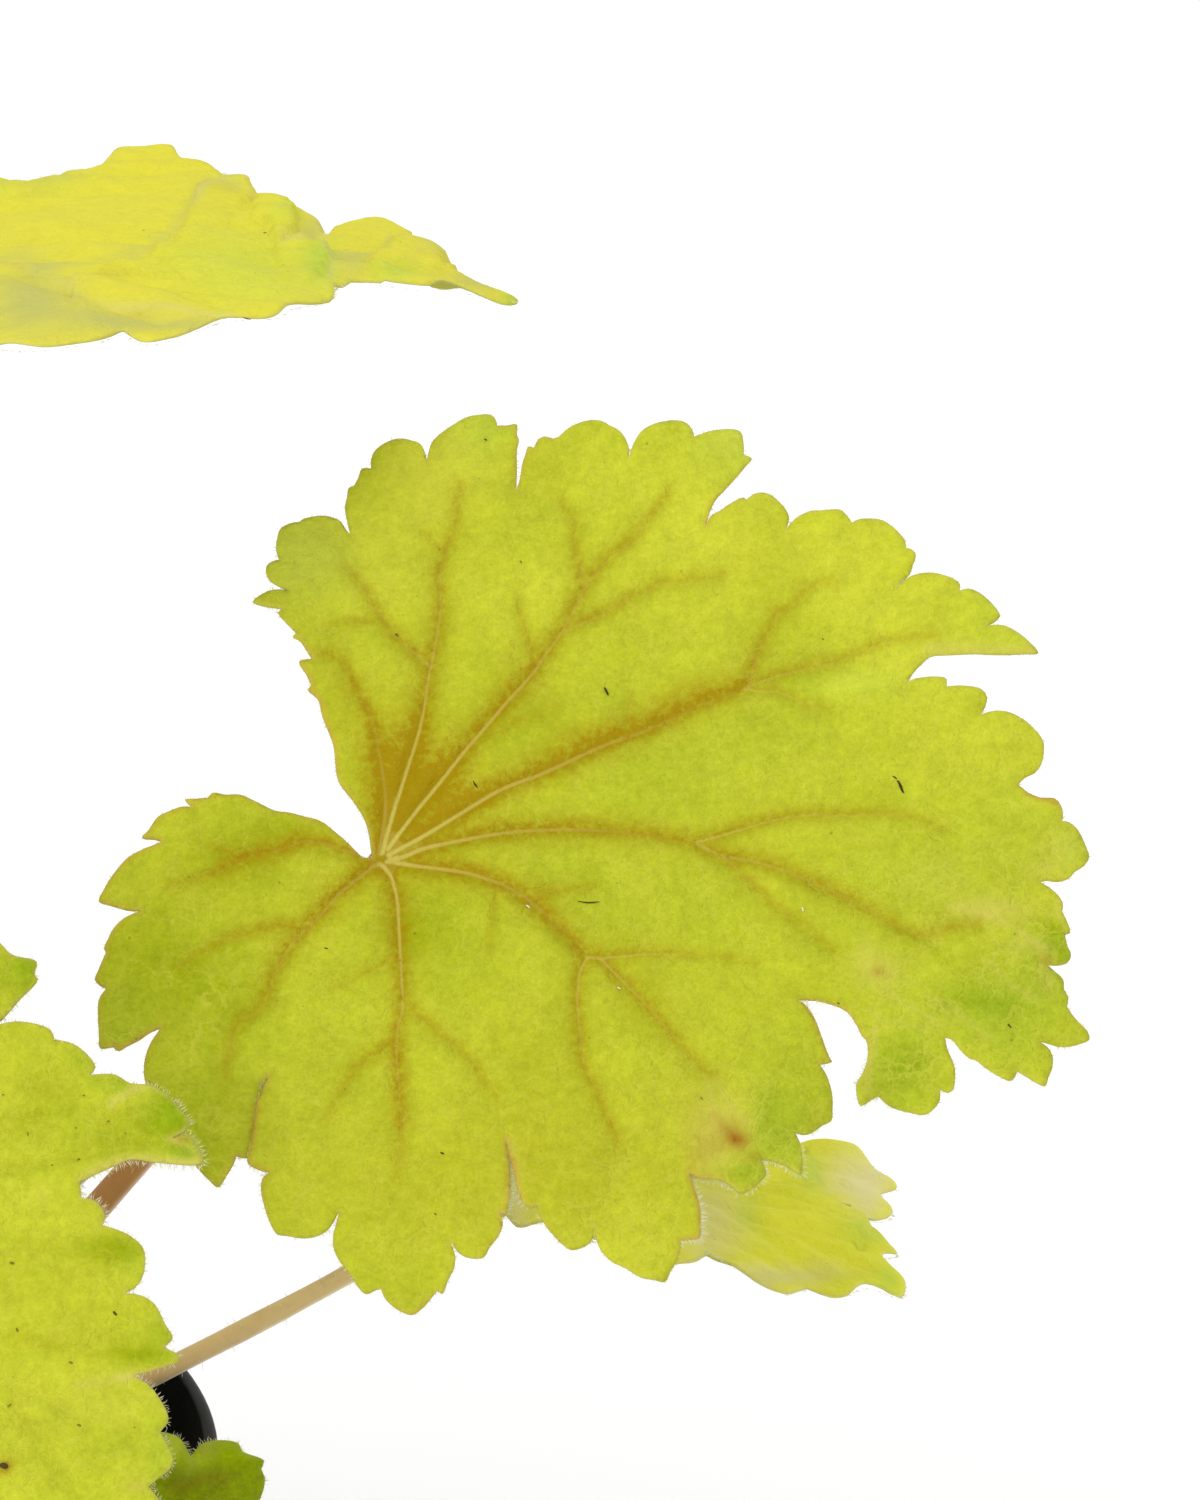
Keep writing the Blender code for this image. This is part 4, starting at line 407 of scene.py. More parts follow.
REAR_LOOKS = """
base_tone 1 base_halo 0 pale_lines 0.2 base_pink 0 base_net 0.15 base_rim 0.3
tone 34.57,-1.65,1.56,2.45,-0.4 41.02,-8.32,2.89,1.78,-0.3 43.25,-13.32,1.33,2,-0.2 32.13,-3.87,3.34,1.78,-0.1
38.24,-12.99,4.45,0.89,-0.3 27.46,-5.54,1.56,2.45,-0.2
fresh 34.57,-1.87,1.33,2.22,0.7 40.8,-8.32,2.67,1.33,0.6 43.02,-13.66,1.33,1.78,0.7 27.46,-5.54,1.33,2.22,0.4
wan 23.01,-5.87,3.78,4.23,0.85 29.9,-12.99,5.56,1,0.8 35.46,-12.32,3.34,0.89,0.3 1.21,-4.43,2.22,3.34,1
light 39.02,-1.42,3.34,2.45,0.95 40.8,-4.43,2.22,2.45,0.9 42.13,-0.53,1.56,2.22,0.6 28.79,-11.88,5.56,0.78,0.4
23.23,-8.87,3.34,1.56,0.4
steps 1.2/5/34.1,0.8;34.8,-1.6;35.7,-3.9;38.2,-5.4;40.8,-7
"""

# Colours of the leaves' skins: lime, green, brown, pale and underside
SKINS = {
    "lime": ((0.665, 0.685, 0.04), (0.34, 0.40, 0.002), (0.40, 0.25, 0.001), (0.70, 0.62, 0.13), (0.52, 0.55, 0.14)),
    "yellow": ((0.82, 0.745, 0.053), (0.52, 0.58, 0.02), (0.45, 0.3, 0.03), (0.76, 0.7, 0.24), (0.54, 0.55, 0.14)),
    "rear": ((0.92, 0.88, 0.05), (0.55, 0.62, 0.02), (0.45, 0.3, 0.03), (0.92, 0.85, 0.42), (0.6, 0.6, 0.2)),
    # The old skin is darker green for an older leaf, and its darkness is partly painted shade for the low leaf
    "old": ((0.54, 0.66, 0.001), (0.13, 0.16, 0.0), (0.14, 0.1, 0.002), (0.45, 0.5, 0.06), (0.3, 0.33, 0.1)),
}
GRAININESS = {"lime": 1.0, "yellow": 0.35, "rear": 0.25, "old": 1.0}
WAN = (0.6, 0.59, 0.14)
BEIGE = (0.78, 0.72, 0.3)
FRESH_TINT = (0.80, 0.99, 1.5)
DARK_VEIN = (0.30, 0.09, 0.01)
ROSY_MARGIN = (0.62, 0.36, 0.06)
RUSTY_SPOT = (0.40, 0.16, 0.015)
SPECK = (0.16, 0.15, 0.008)
THROUGH_LIGHT = (0.64, 0.66, 0.004)


def parse_route(text):
    return np.array([[float(v) for v in word.split(",")] for word in text.split()])


def parse_outline(text):
    """Points of an outline, and which of them are sharp notches."""
    return parse_route(text.replace("/", "")), np.array([word.startswith("/") for word in text.split()])


def parse_veins(text):
    """Rows of strength at the start and end, pale share and route."""
    rows = [row.split(None, 1) for row in text.split(":")[1:]]
    return [(*map(float, numbers.split(",")), parse_route(route)) for numbers, route in rows]


def parse_looks(text):
    """Fields of a look: lists of spots and strokes, or one value."""
    looks = {}
    for word in text.split():
        if word[0].isalpha():
            rows = looks.setdefault(word, [])
        elif "/" in word:
            amount, width, route = word.split("/")
            rows.append((float(amount), float(width), route.replace(";", " ")))
        else:
            rows.append(tuple(float(v) for v in word.split(",")))
    return {field: rows[0][0] if len(rows[0]) == 1 else rows for field, rows in looks.items()}


def polar(reach, angle, *height):
    return (reach * math.cos(angle), reach * math.sin(angle), *height)


def bell(away, width):
    return np.exp(-((away / width) ** 2))


def unit(vectors):
    return vectors / np.maximum(np.linalg.norm(vectors, axis=1), 1e-12)[:, None]


def signed_area(points):
    x, y = points.T
    return (x * np.roll(y, -1) - y * np.roll(x, -1)).sum()


def in_parts(function, points, size=4000):
    """The values of a function over many points, a few thousand at a time."""
    return np.concatenate([function(points[k : k + size]) for k in range(0, len(points), size)])


def find_notches(points, least_turn=48.0):
    """Marks the vertices where an outline turns sharply inwards."""
    before = points - np.roll(points, 1, 0)
    after = np.roll(points, -1, 0) - points
    turn = np.arctan2(before[:, 0] * after[:, 1] - before[:, 1] * after[:, 0], (before * after).sum(1))
    return turn * np.sign(signed_area(points)) < -math.radians(least_turn)


def curve_through(run, step):
    """Points about every step along a centripetal Catmull-Rom curve through a run of points."""
    ends = np.vstack((2 * run[0] - run[1], run, 2 * run[-1] - run[-2]))
    gaps = np.maximum(np.linalg.norm(np.diff(ends, axis=0), axis=1), 1e-4) ** 0.5
    knots = np.concatenate(([0.0], np.cumsum(gaps)))

    def blend(a, b, start, end):
        return (end - t) / (end - start) * a + (t - start) / (end - start) * b

    out = []
    for k in range(1, len(ends) - 2):
        p0, p1, p2, p3 = ends[k - 1 : k + 3]
        t0, t1, t2, t3 = knots[k - 1 : k + 3]
        t = np.linspace(t1, t2, max(1, round(np.linalg.norm(p2 - p1) / step)), endpoint=False)[:, None]
        a1, a2, a3 = blend(p0, p1, t0, t1), blend(p1, p2, t1, t2), blend(p2, p3, t2, t3)
        out.append(blend(blend(a1, a2, t0, t2), blend(a2, a3, t1, t3), t1, t2))
    return np.vstack([*out, run[-1:]])


def rounded(outline, step):
    """A closed outline, curved between its notches and sampled about every step."""
    points, notches = outline
    first = int(np.argmax(notches))
    order = np.r_[first : len(points), 0 : first + 1]
    points, notches = points[order], notches[order]
    stops = [0, *(k for k in range(1, len(points) - 1) if notches[k]), len(points) - 1]
    return np.vstack([curve_through(points[a : b + 1], step)[:-1] for a, b in zip(stops, stops[1:])])


def within(points, outline):
    """Which points lie inside a closed outline."""
    x1, y1 = outline.T
    x2, y2 = np.roll(outline, -1, 0).T
    rise = np.where(y2 == y1, 1e-9, y2 - y1)

    def inside(part):
        x, y = part[:, :1], part[:, 1:]
        spans = (y1 > y) != (y2 > y)
        return (spans & (x < x1 + (x2 - x1) * (y - y1) / rise)).sum(1) % 2 == 1

    return in_parts(inside, points)


def tree_of(points):
    tree = kdtree.KDTree(len(points))
    for k, (x, y) in enumerate(points):
        tree.insert((x, y, 0.0), k)
    tree.balance()
    return tree


def nearest(points, tree):
    """Index and distance of the nearest tree point for each point."""
    found = [tree.find((x, y, 0.0))[1:] for x, y in points]
    return np.array([k for k, _ in found]), np.array([d for _, d in found])


def grain(points, size, seed):
    """Smooth noise from -1 to 1 over flat points, at a grain size in millimetres."""
    return np.array([noise.noise(Vector((x / size, y / size, seed * 7.3))) for x, y in points])


def field(points, rows, base):
    """A smooth field: base plus soft spots and strokes."""
    value = np.full(len(points), base)
    for row in rows:
        if len(row) == 3:
            amount, width, route = row
            value += amount * bell(nearest(points, tree_of(curve_through(parse_route(route), ROUTE_STEP)))[1], width)
        else:
            x, y, wide, high, amount = row
            value += amount * np.exp(-(((points[:, 0] - x) / wide) ** 2) - ((points[:, 1] - y) / high) ** 2)
    return value


def folds(points, rows):
    """The side of each route that lies nearer and lower is lifted, and fades away from the route."""
    value = np.zeros(len(points))
    for amount, width, route in rows:
        line = curve_through(parse_route(route), ROUTE_STEP)
        index, gap = nearest(points, tree_of(line))
        run, reach = np.gradient(line, axis=0)[index], points - line[index]
        lower = run[:, 0] * reach[:, 1] - run[:, 1] * reach[:, 0] < 0.0
        value += np.where(lower & (index > 0) & (index < len(line) - 1), amount * bell(gap, width), 0.0)
    return value


class Veins:
    """Veins of a blade as closely spaced samples with a strength and a pale share."""

    def __init__(self, rows):
        self.lines, strength, pale = [], [], []
        for begin, end, light, route in rows:
            line = curve_through(np.asarray(route, float), VEIN_STEP)
            share = np.linspace(0.0, 1.0, len(line))
            self.lines.append(line)
            strength.append(begin + (end - begin) * share)
            pale.append(0.85 * light * (1.0 - share) ** 1.2)
        self.points, self.strength, self.pale = np.vstack(self.lines), np.concatenate(strength), np.concatenate(pale)
        self.tree = tree_of(self.points)

    def halo(self, points):
        """Strength of the nearest veins, mostly on their upper side: a narrow band and a wide soft one."""
        spots, strength = self.points[::3] + (-0.1, 0.22), np.clip(self.strength[::3], 0.0, 0.9)

        def strongest(part):
            away = ((part[:, None, :] - spots[None]) ** 2).sum(2)
            near = np.exp(-away / (0.4 + 0.85 * strength) ** 2)
            wide = np.exp(-away / (0.6 + 2.5 * strength) ** 2)
            return (strength**0.56 * (0.82 * near + 0.42 * np.sqrt(strength) * wide)).max(1)

        return in_parts(strongest, points)


def branch_veins(tips, outline, seed):
    """Veins for a palmate blade: one to each tip, with side veins that reach for the margin."""
    draw = random.Random(seed)
    rows, edge = [], tree_of(outline)
    for tip in tips:
        tip = np.asarray(tip, float)
        length = np.linalg.norm(tip)
        along, side = tip / length, np.array((-tip[1], tip[0])) / length
        bend = draw.uniform(-0.05, 0.05) * length

        def spot_at(share):
            return tip * share + side * bend * math.sin(math.pi * share)

        rows.append((*MAIN_VEIN, [spot_at(share) for share in MAIN_VEIN_SPOTS]))
        for k, share in enumerate(SIDE_VEIN_STARTS):
            angle = math.radians(draw.uniform(32.0, 44.0)) * (1 if (k + seed) % 2 else -1)
            outwards = along * math.cos(angle) + side * math.sin(angle)
            branch, step = [spot_at(share)], length * 0.075
            while len(branch) < 6:
                turn = 0.12 * len(branch)
                spot = branch[-1] + (outwards + along * turn) / (1.0 + turn) * step
                if not within(spot[None], outline)[0] or edge.find((*spot, 0.0))[2] < 0.03 * length:
                    break
                branch.append(spot)
            if len(branch) > 2:
                rows.append((*SIDE_VEIN, branch))
    return rows


def split_blade(border, veins, spacing, seed):
    """Flat points and triangles of a blade, with rows of points along its veins."""
    low, high = border.min(0), border.max(0)
    grid = []
    for k, y in enumerate(np.arange(low[1], high[1], spacing * 0.866)):
        x = np.arange(low[0] + (spacing / 2 if k % 2 else 0.0), high[0], spacing)
        grid.append(np.column_stack((x, np.full(len(x), y))))
    grid = np.vstack(grid)
    grid += np.random.default_rng(seed).uniform(-GRID_JITTER, GRID_JITTER, grid.shape) * spacing
    grid = grid[within(grid, border)]
    kept = {}
    for line in veins.lines:
        core = line[:: max(1, round(spacing * 0.7 / VEIN_STEP))]
        if len(core) < 3:
            continue
        run = np.gradient(core, axis=0)
        side = unit(np.column_stack((-run[:, 1], run[:, 0]))) * spacing * 0.62
        for spot in np.vstack((core, core + side, core - side)):
            kept.setdefault(tuple(np.round(spot / (spacing * 0.3))), spot)
    extra = np.array(list(kept.values()))
    extra = extra[within(extra, border)]
    grid = grid[nearest(grid, tree_of(extra))[1] > spacing * 0.5]
    points = np.vstack((extra, grid))
    points = points[nearest(points, tree_of(border))[1] > spacing * 0.4]
    flat = [Vector(p) for p in np.vstack((border, points))]
    verts, _, faces, _, _, _ = delaunay_2d_cdt(flat, [], [list(range(len(border)))], 1, 1e-6)
    return np.array([tuple(v) for v in verts]), np.array([tuple(f) for f in faces])


def point_normals(points, faces):
    corners = points[faces]
    normal = np.cross(corners[:, 1] - corners[:, 0], corners[:, 2] - corners[:, 0])
    total = np.zeros_like(points)
    for k in range(3):
        np.add.at(total, faces[:, k], normal)
    return unit(total)


def shifted(faces, by):
    return [tuple(by + i for i in f) for f in faces]


def tube_faces(start, rings, sides):
    """Quads between rings of points, and the two end faces."""
    faces = []
    for low in range(start, start + (rings - 1) * sides, sides):
        high = low + sides
        faces += [(low + k, low + (k + 1) % sides, high + (k + 1) % sides, high + k) for k in range(sides)]
    last = start + (rings - 1) * sides
    return faces + [tuple(reversed(range(start, start + sides))), tuple(range(last, last + sides))]


def add_object(name, data):
    made = bpy.data.objects.new(name, data)
    bpy.context.scene.collection.objects.link(made)
    return made


def add_mesh(name, points, faces):
    """An object with a mesh whose points are given in millimetres."""
    mesh = bpy.data.meshes.new(name)
    mesh.from_pydata((np.asarray(points) * MM).tolist(), [], [list(map(int, f)) for f in faces])
    return add_object(name, mesh)


def new_piece(name, points, faces, material, node, slot, attributes=None, plan=None):
    """A smooth-shaded mesh piece in millimetres, riding on the root body and standing for a CAD node."""
    piece = add_mesh(name, points, faces)
    mesh = piece.data
    for key, values in (attributes or {}).items():
        mesh.attributes.new(key, "FLOAT", "POINT").data.foreach_set("value", np.asarray(values, np.float32))
    if plan is not None:
        layer = mesh.attributes.new("plan", "FLOAT_VECTOR", "POINT")
        layer.data.foreach_set("vector", np.asarray(plan, np.float32).ravel())
    mesh.materials.append(material)
    mesh.shade_smooth()
    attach(piece, "root")
    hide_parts(node)


def bent_hairs(roots, aims, lengths, seed):
    """Points and faces of fine three-sided hairs, each bent once and closed to a point."""
    draw = np.random.default_rng(seed)
    aims = unit(aims)
    other = unit(np.cross(aims, draw.normal(size=aims.shape)))
    third = np.cross(aims, other)
    droop = draw.uniform(0.05, 0.3, len(roots))[:, None] * other
    lengths = lengths[:, None]
    points = np.zeros((len(roots), 7, 3))
    for k in range(3):
        angle = 2 * math.pi * k / 3
        ring = (other * math.cos(angle) + third * math.sin(angle)) * HAIR_RADIUS
        points[:, k] = roots - aims * 0.1 + ring
        points[:, 3 + k] = roots + aims * lengths * 0.5 + droop * lengths * 0.25 + ring * 0.7
    points[:, 6] = roots + aims * lengths * 0.95 + droop * lengths
    hair = [(2, 1, 0)]
    for k, n in ((0, 1), (1, 2), (2, 0)):
        hair += [(k, n, 3 + n, 3 + k), (3 + k, 3 + n, 6)]
    return points.reshape(-1, 3), [face for h in range(len(roots)) for face in shifted(hair, 7 * h)]


class Value:
    """An output of a shader node, which can take part in sums and products."""

    def __init__(self, shader, socket):
        self.shader, self.socket = shader, socket

    def __add__(self, other):
        return self.shader.math("ADD", self, other)

    def __sub__(self, other):
        return self.shader.math("SUBTRACT", self, other)

    def __mul__(self, other):
        return self.shader.math("MULTIPLY", self, other)

    def __truediv__(self, other):
        return self.shader.math("DIVIDE", self, other)

    def clamped(self):
        """This sum or product, kept from 0 to 1."""
        self.socket.node.use_clamp = True
        return self


class Shader:
    """A material's node tree, with short calls for the nodes that it needs."""

    def __init__(self, name):
        self.material = bpy.data.materials.new(name)
        self.material.use_nodes = True
        self.tree = self.material.node_tree
        self.tree.nodes.clear()

    def node(self, kind, inputs=None, output=0, **settings):
        """An output of a new node, whose inputs are values, colours or other outputs."""
        made = self.tree.nodes.new("ShaderNode" + kind)
        for key, value in settings.items():
            setattr(made, key, value)
        for key, value in (inputs or {}).items():
            socket = made.inputs[key]
            if isinstance(value, Value):
                self.tree.links.new(value.socket, socket)
            else:
                socket.default_value = (*value, 1.0) if socket.type == "RGBA" else value
        return Value(self, made.outputs[output])

    def place(self):
        return self.node("TexCoord", output="Object")

    def value(self, name, output="Fac"):
        return self.node("Attribute", output=output, attribute_name=name)

    def math(self, operation, a, b):
        return self.node("Math", {0: a, 1: b}, operation=operation)

    def fade(self, value, start, end, low=0.0, high=1.0):
        """low where value is at start, high where it is at end, smooth between."""
        return self.node("MapRange", {0: value, 1: start, 2: end, 3: low, 4: high}, interpolation_type="SMOOTHSTEP")

    def mix(self, share, a, b, blend="MIX"):
        return self.node("Mix", {0: share, 6: a, 7: b}, 2, data_type="RGBA", blend_type=blend)

    def noise(self, vector, scale, detail=3.0, roughness=0.5, output="Fac"):
        inputs = {"Vector": vector, "Scale": scale, "Detail": detail, "Roughness": roughness}
        return self.node("TexNoise", inputs, output)

    def stretched_noise(self, vector, scales, detail):
        return self.noise(self.node("Mapping", {0: vector, 3: scales}), 1.0, detail)

    def cracks(self, vector, scale):
        """Distance to the edges of random cells."""
        return self.node("TexVoronoi", {"Vector": vector, "Scale": scale}, "Distance", feature="DISTANCE_TO_EDGE")

    def dots(self, vector, scale, start, end, channel, least):
        """Round dots that fade from start to end, in the few cells whose random colour channel is over least."""
        away = self.node("TexVoronoi", {"Vector": vector, "Scale": scale}, "Distance", feature="F1")
        tint = Value(self, away.socket.node.outputs["Color"])
        chosen = self.math("GREATER_THAN", self.node("SeparateColor", {0: tint}, channel), least)
        return self.fade(away, start, end) * chosen

    def bump(self, height, strength, distance, normal=None):
        below = {} if normal is None else {"Normal": normal}
        return self.node("Bump", {"Height": height, "Strength": strength, "Distance": distance, **below}, "Normal")

    def skin(self, colour, rough, specular, normal=None, **more):
        """A principled surface. The names of further inputs have underscores for spaces."""
        inputs = {"Base Color": colour, "Roughness": rough, "Specular IOR Level": specular}
        inputs.update({key.replace("_", " "): value for key, value in more.items()})
        return self.node("BsdfPrincipled", inputs if normal is None else {**inputs, "Normal": normal})

    def finish(self, surface, share=0.0, through=None):
        """The material of a surface that lets a share of the light through."""
        if through is not None:
            surface = self.node("MixShader", {0: share, 1: surface, 2: self.node("BsdfTranslucent", through)})
        output = self.tree.nodes.new("ShaderNodeOutputMaterial")
        self.tree.links.new(surface.socket, output.inputs["Surface"])
        return self.material


def leaf_material(name, lime, green, brown, pale, under, wan, rough):
    """Leaf skin: lime to green, brown along the veins, fine pale net, small dark specks, paler underneath."""
    s = Shader(name)
    plan = s.value("plan", "Vector")
    fine, dust = s.noise(plan, 1.1, 3.0, 0.6), s.noise(plan, 3.2, 3.0, 0.7)
    # The tone field mixes green to lime and holds painted shade and painted light besides the leaf's own colour
    tone = s.value("tone")
    for texture, share in ((s.noise(plan, 0.12, 4.0, 0.55), 0.4), (fine, 0.3), (dust, 0.34)):
        tone = (tone + (texture - 0.5) * share).clamped()
    colour = s.mix(tone, green, lime)
    shade = fine * (0.3 * rough) + dust * (0.26 * rough) + s.noise(plan, 0.42, 3.0, 0.6) * (0.36 * rough)
    colour = s.mix(1.0, colour, shade + (1.0 - 0.46 * rough), "MULTIPLY")
    fresh = s.value("fresh") + (fine - 0.5) * 0.25
    colour = s.mix(fresh, colour, s.mix(1.0, colour, FRESH_TINT, "MULTIPLY"))
    # The pale net of the smallest veins
    warp = s.noise(plan, 0.8, output="Color")
    bent = s.node("VectorMath", {0: warp, 1: (2.2, 2.2, 2.2), 2: plan}, operation="MULTIPLY_ADD")
    wide, narrow = s.cracks(bent, 0.42), s.cracks(bent, 0.95)
    net = s.math("MAXIMUM", s.fade(wide, 0.12, 0.0), s.fade(narrow, 0.2, 0.0) * 0.5)
    net = net * s.fade(s.noise(plan, 0.25), 0.35, 0.6, 0.35, 1.0)
    colour = s.mix((net * s.value("net")).clamped() * 0.66, colour, s.mix(0.35, lime, pale))
    # The light field paints pale margins and lips, and painted highlights on fold ridges and shaded lobes
    colour = s.mix(s.value("light") * 0.85, colour, pale)
    # Brown round the veins, broken up a little
    torn = s.fade(s.noise(plan, 1.3, 5.0, 0.7), 0.32, 0.68, 0.5, 1.3)
    stain = ((s.value("halo") + s.value("blush")) * torn).clamped()
    size = s.value("size")
    line = s.fade(s.value("vein") / (size * 0.25 + 0.05), 1.4, 0.4)
    veiny = line * (size * 0.5 * s.value("halo")).clamped()
    edge = s.value("edge")
    layers = (
        (stain * 0.9, brown),
        (veiny, s.mix(0.5, brown, DARK_VEIN)),
        (line * s.value("pale"), pale),
        (s.value("wan") * 0.9, wan),
        (s.fade(edge, 0.75, 0.05) * s.value("pink"), ROSY_MARGIN),
        (s.fade(edge, 0.45, 0.05) * s.value("rim"), pale),
        (s.value("rust") * 0.9, RUSTY_SPOT),
        (s.dots(plan, 0.33, 0.066, 0.0198, 0, 0.68) * 0.55, SPECK),
        (s.dots(plan, 0.8, 0.088, 0.0264, 0, 0.8) * 0.55, SPECK),
        (s.value("under") * 0.8, under),
    )
    for share, paint in layers:
        colour = s.mix(share, colour, paint)
    normal = s.bump(net * -0.35 + s.noise(plan, 2.2) * 0.4, 0.8, 0.00022)
    normal = s.bump(s.noise(plan, 0.3, 2.0), 0.35, 0.0012, normal)
    skin = s.skin(colour, s.fade(fine, 0.2, 0.8, 0.52, 0.66), 0.06, normal)
    return s.finish(skin, 0.26, {"Color": s.mix(0.2, colour, THROUGH_LIGHT), "Normal": normal})


def speck_material():
    """Dry crumbs of dirt, from nearly black through brown to off-white."""
    s = Shader("leaf_specks")
    shade = s.value("shade")
    brown = s.mix(s.fade(shade, 0.0, 0.5), (0.022, 0.018, 0.008), (0.34, 0.22, 0.02))
    colour = s.mix(s.fade(shade, 0.6, 1.0), brown, (0.9, 0.9, 0.82))
    colour = s.mix(s.noise(s.place(), 4000.0) * 0.35, colour, (0.10, 0.07, 0.02))
    return s.finish(s.skin(colour, 0.8, 0.15))


def stalk_material(name, low, high, pale):
    """Fleshy stalk, reddish brown at the foot and greener near the blade, paler on one flank, faintly streaked."""
    s = Shader(name)
    place = s.place()
    streak = s.noise(s.value("plan", "Vector"), 1.0, 4.0, 0.6)
    colour = s.mix(s.value("along") + (streak - 0.5) * 0.7, low, high)
    colour = s.mix(s.fade(s.value("flank"), 0.78, 1.0, 0.0, 0.9), colour, pale)
    blotch = s.fade(s.noise(place, 260.0, 4.0, 0.6), 0.45, 0.75)
    colour = s.mix(blotch * 0.3, colour, (0.30, 0.12, 0.06))
    normal = s.bump(s.noise(place, 900.0), 0.3, 0.0002)
    flesh = {"Sheen_Weight": 0.12, "Subsurface_Weight": 0.12, "Subsurface_Scale": 0.002}
    return s.finish(s.skin(colour, s.fade(streak, 0.2, 0.8, 0.42, 0.6), 0.35, normal, **flesh))


def hair_material():
    s = Shader("leaf_hair")
    colour = s.mix(s.noise(s.place(), 120.0, 2.0), (0.95, 0.93, 0.62), (0.98, 0.97, 0.82))
    return s.finish(s.skin(colour, 0.5, 0.3), 0.5, {"Color": colour})


def pot_material():
    """Black moulded plastic with a fine orange-peel grain, faint scratches and dried soil splashes."""
    s = Shader("pot_plastic")
    place = s.place()
    cloud = s.noise(place, 24.0, 5.0, 0.6)
    colour = s.mix(s.fade(cloud, 0.35, 0.7), (0.002, 0.0025, 0.002), (0.006, 0.0065, 0.006))
    low = s.fade(s.node("SeparateXYZ", {0: place}, 2), 0.02, 0.0, 0.25, 0.8)
    dust = s.fade(s.noise(place, 60.0, 6.0, 0.7), 0.56, 0.72) * low
    colour = s.mix(dust * 0.35, colour, (0.10, 0.075, 0.05))
    scratches = s.fade(s.stretched_noise(place, (90.0, 90.0, 900.0), 2.0), 0.62, 0.72)
    normal = s.bump(scratches, 0.12, 0.0001, s.bump(s.noise(place, 900.0), 0.18, 0.00015))
    return s.finish(s.skin(colour, s.fade(cloud, 0.3, 0.7, 0.42, 0.58) + dust * 0.3, 0.18, normal))


def peat_material():
    """Moist peat: dark crumbs with brown fibres and a few pale grains."""
    s = Shader("soil_peat")
    place = s.place()
    lumps = s.noise(place, 180.0, 8.0, 0.7)
    colour = s.mix(s.fade(lumps, 0.3, 0.72), (0.018, 0.011, 0.007), (0.075, 0.045, 0.026))
    fibres = s.fade(s.stretched_noise(place, (300.0, 1500.0, 900.0), 3.0), 0.6, 0.7)
    colour = s.mix(fibres * 0.5, colour, (0.16, 0.09, 0.045))
    colour = s.mix(s.dots(place, 420.0, 0.42, 0.3, 1, 0.93) * 0.6, colour, (0.30, 0.24, 0.17))
    normal = s.bump(s.noise(place, 1400.0, 4.0), 0.6, 0.0004, s.bump(lumps, 0.9, 0.0012))
    return s.finish(s.skin(colour, s.fade(lumps, 0.3, 0.7, 0.75, 0.98), 0.25, normal))


def bark_material():
    """Woody crown: brown scales, darker and rougher at their edges, with a reddish brown mottle."""
    s = Shader("crown_bark")
    place = s.place()
    scales = s.cracks(s.node("Mapping", {0: place, 3: (1.0, 1.0, 0.45)}), 520.0)
    colour = s.mix(s.fade(scales, 0.02, 0.25), (0.045, 0.022, 0.012), (0.19, 0.10, 0.05))
    colour = s.mix(s.noise(place, 900.0, 5.0) * 0.5, colour, (0.26, 0.12, 0.07))
    return s.finish(s.skin(colour, s.fade(scales, 0.0, 0.3, 0.9, 0.7), 0.5, s.bump(scales, 0.8, 0.001)))


def sight_points(junction, x, y, z):
    """Points that look x across and y up from the junction, z nearer to the eye than it."""
    eye = EYE - junction
    share = (eye @ BACK - z) / (eye @ BACK)
    across = eye @ RIGHT + (x - eye @ RIGHT) * share
    up = eye @ UP + (y - eye @ UP) * share
    return junction + across[:, None] * RIGHT + up[:, None] * UP + z[:, None] * BACK


def domed(pitch, tilt, sag, size, wave, phase):
    """Height of a blade that leans, sags outwards and waves towards its margin."""

    def height(x, y):
        reach, angle = np.hypot(x, y), np.arctan2(y, x)
        plain = -math.tan(math.radians(pitch)) * y + tilt * x - sag * reach**2
        return plain + wave * (reach / size) ** 2 * np.sin(5.0 * angle + phase)

    return height


front_height = domed(18.0, 0.12, 0.0022, 45.0, 1.6, 2.0)
low_height = domed(42.0, 0.0, 0.004, 22.0, 1.0, 1.0)


def large_height(x, y):
    """The large leaf is also dimpled at its junction and where its lower right is eaten away."""
    dimples = 1.6 * bell(np.hypot(x, y), 9.0) + 5.0 * bell(x - 52.0, 8.0) * bell(y + 27.0, 7.0)
    return domed(30.0, 0.0, 0.0016, 50.0, 1.5, 0.6)(x, y) - dimples


def high_height(x, away):
    crest = 5.6 - 0.0031 * (x - 44.0) ** 2
    rise = 0.16 * away + 0.0016 * away * np.abs(away)
    droop = 2.2 * bell(x - 30.0, 9.0) * np.clip((-away - 15.0) / 25.0, 0.0, 1.0)
    return crest + rise - droop + 0.8 * np.sin(0.21 * x + 0.9) * (away / 40.0) ** 2


def rear_height(x, away):
    rise = 0.29 * away + 0.0016 * away * np.abs(away) + 2.0 * bell(x - 5.0, 8.0) * np.clip(-away / 15.0, 0.0, 1.0)
    return -0.0046 * x * x + rise + 0.9 * np.sin(0.33 * x) * (away / 28.0) ** 2


def facing(junction, height):
    """Placement of a blade that faces the front view: relief goes along the line of sight."""
    return lambda x, y, relief: sight_points(junction, x, y, height(x, y) + relief)


def edgewise(junction, height):
    """Placement of a blade seen edge on: relief goes up the view."""
    return lambda x, y, relief: sight_points(junction, x, height(x, y) + relief, -y)


def tucked(place):
    """The large leaf's left lobe slips behind its neighbour along the slit between them."""
    seam = curve_through(parse_route("-11,-21.4 -11.8,-22.7 -12.8,-25 -13.05,-26.8 -13.2,-28.6 -13.4,-30.2"), 0.1)
    tree = tree_of(seam)

    def put(x, y, relief):
        index, gap = nearest(np.column_stack((x, y)), tree)
        share = bell(gap, 1.8) * np.clip((-21.4 - y) / 1.4, 0.0, 1.0) * (x < seam[index, 0])
        return place(x + 1.2 * share, y, relief - 1.0 * share)

    return put


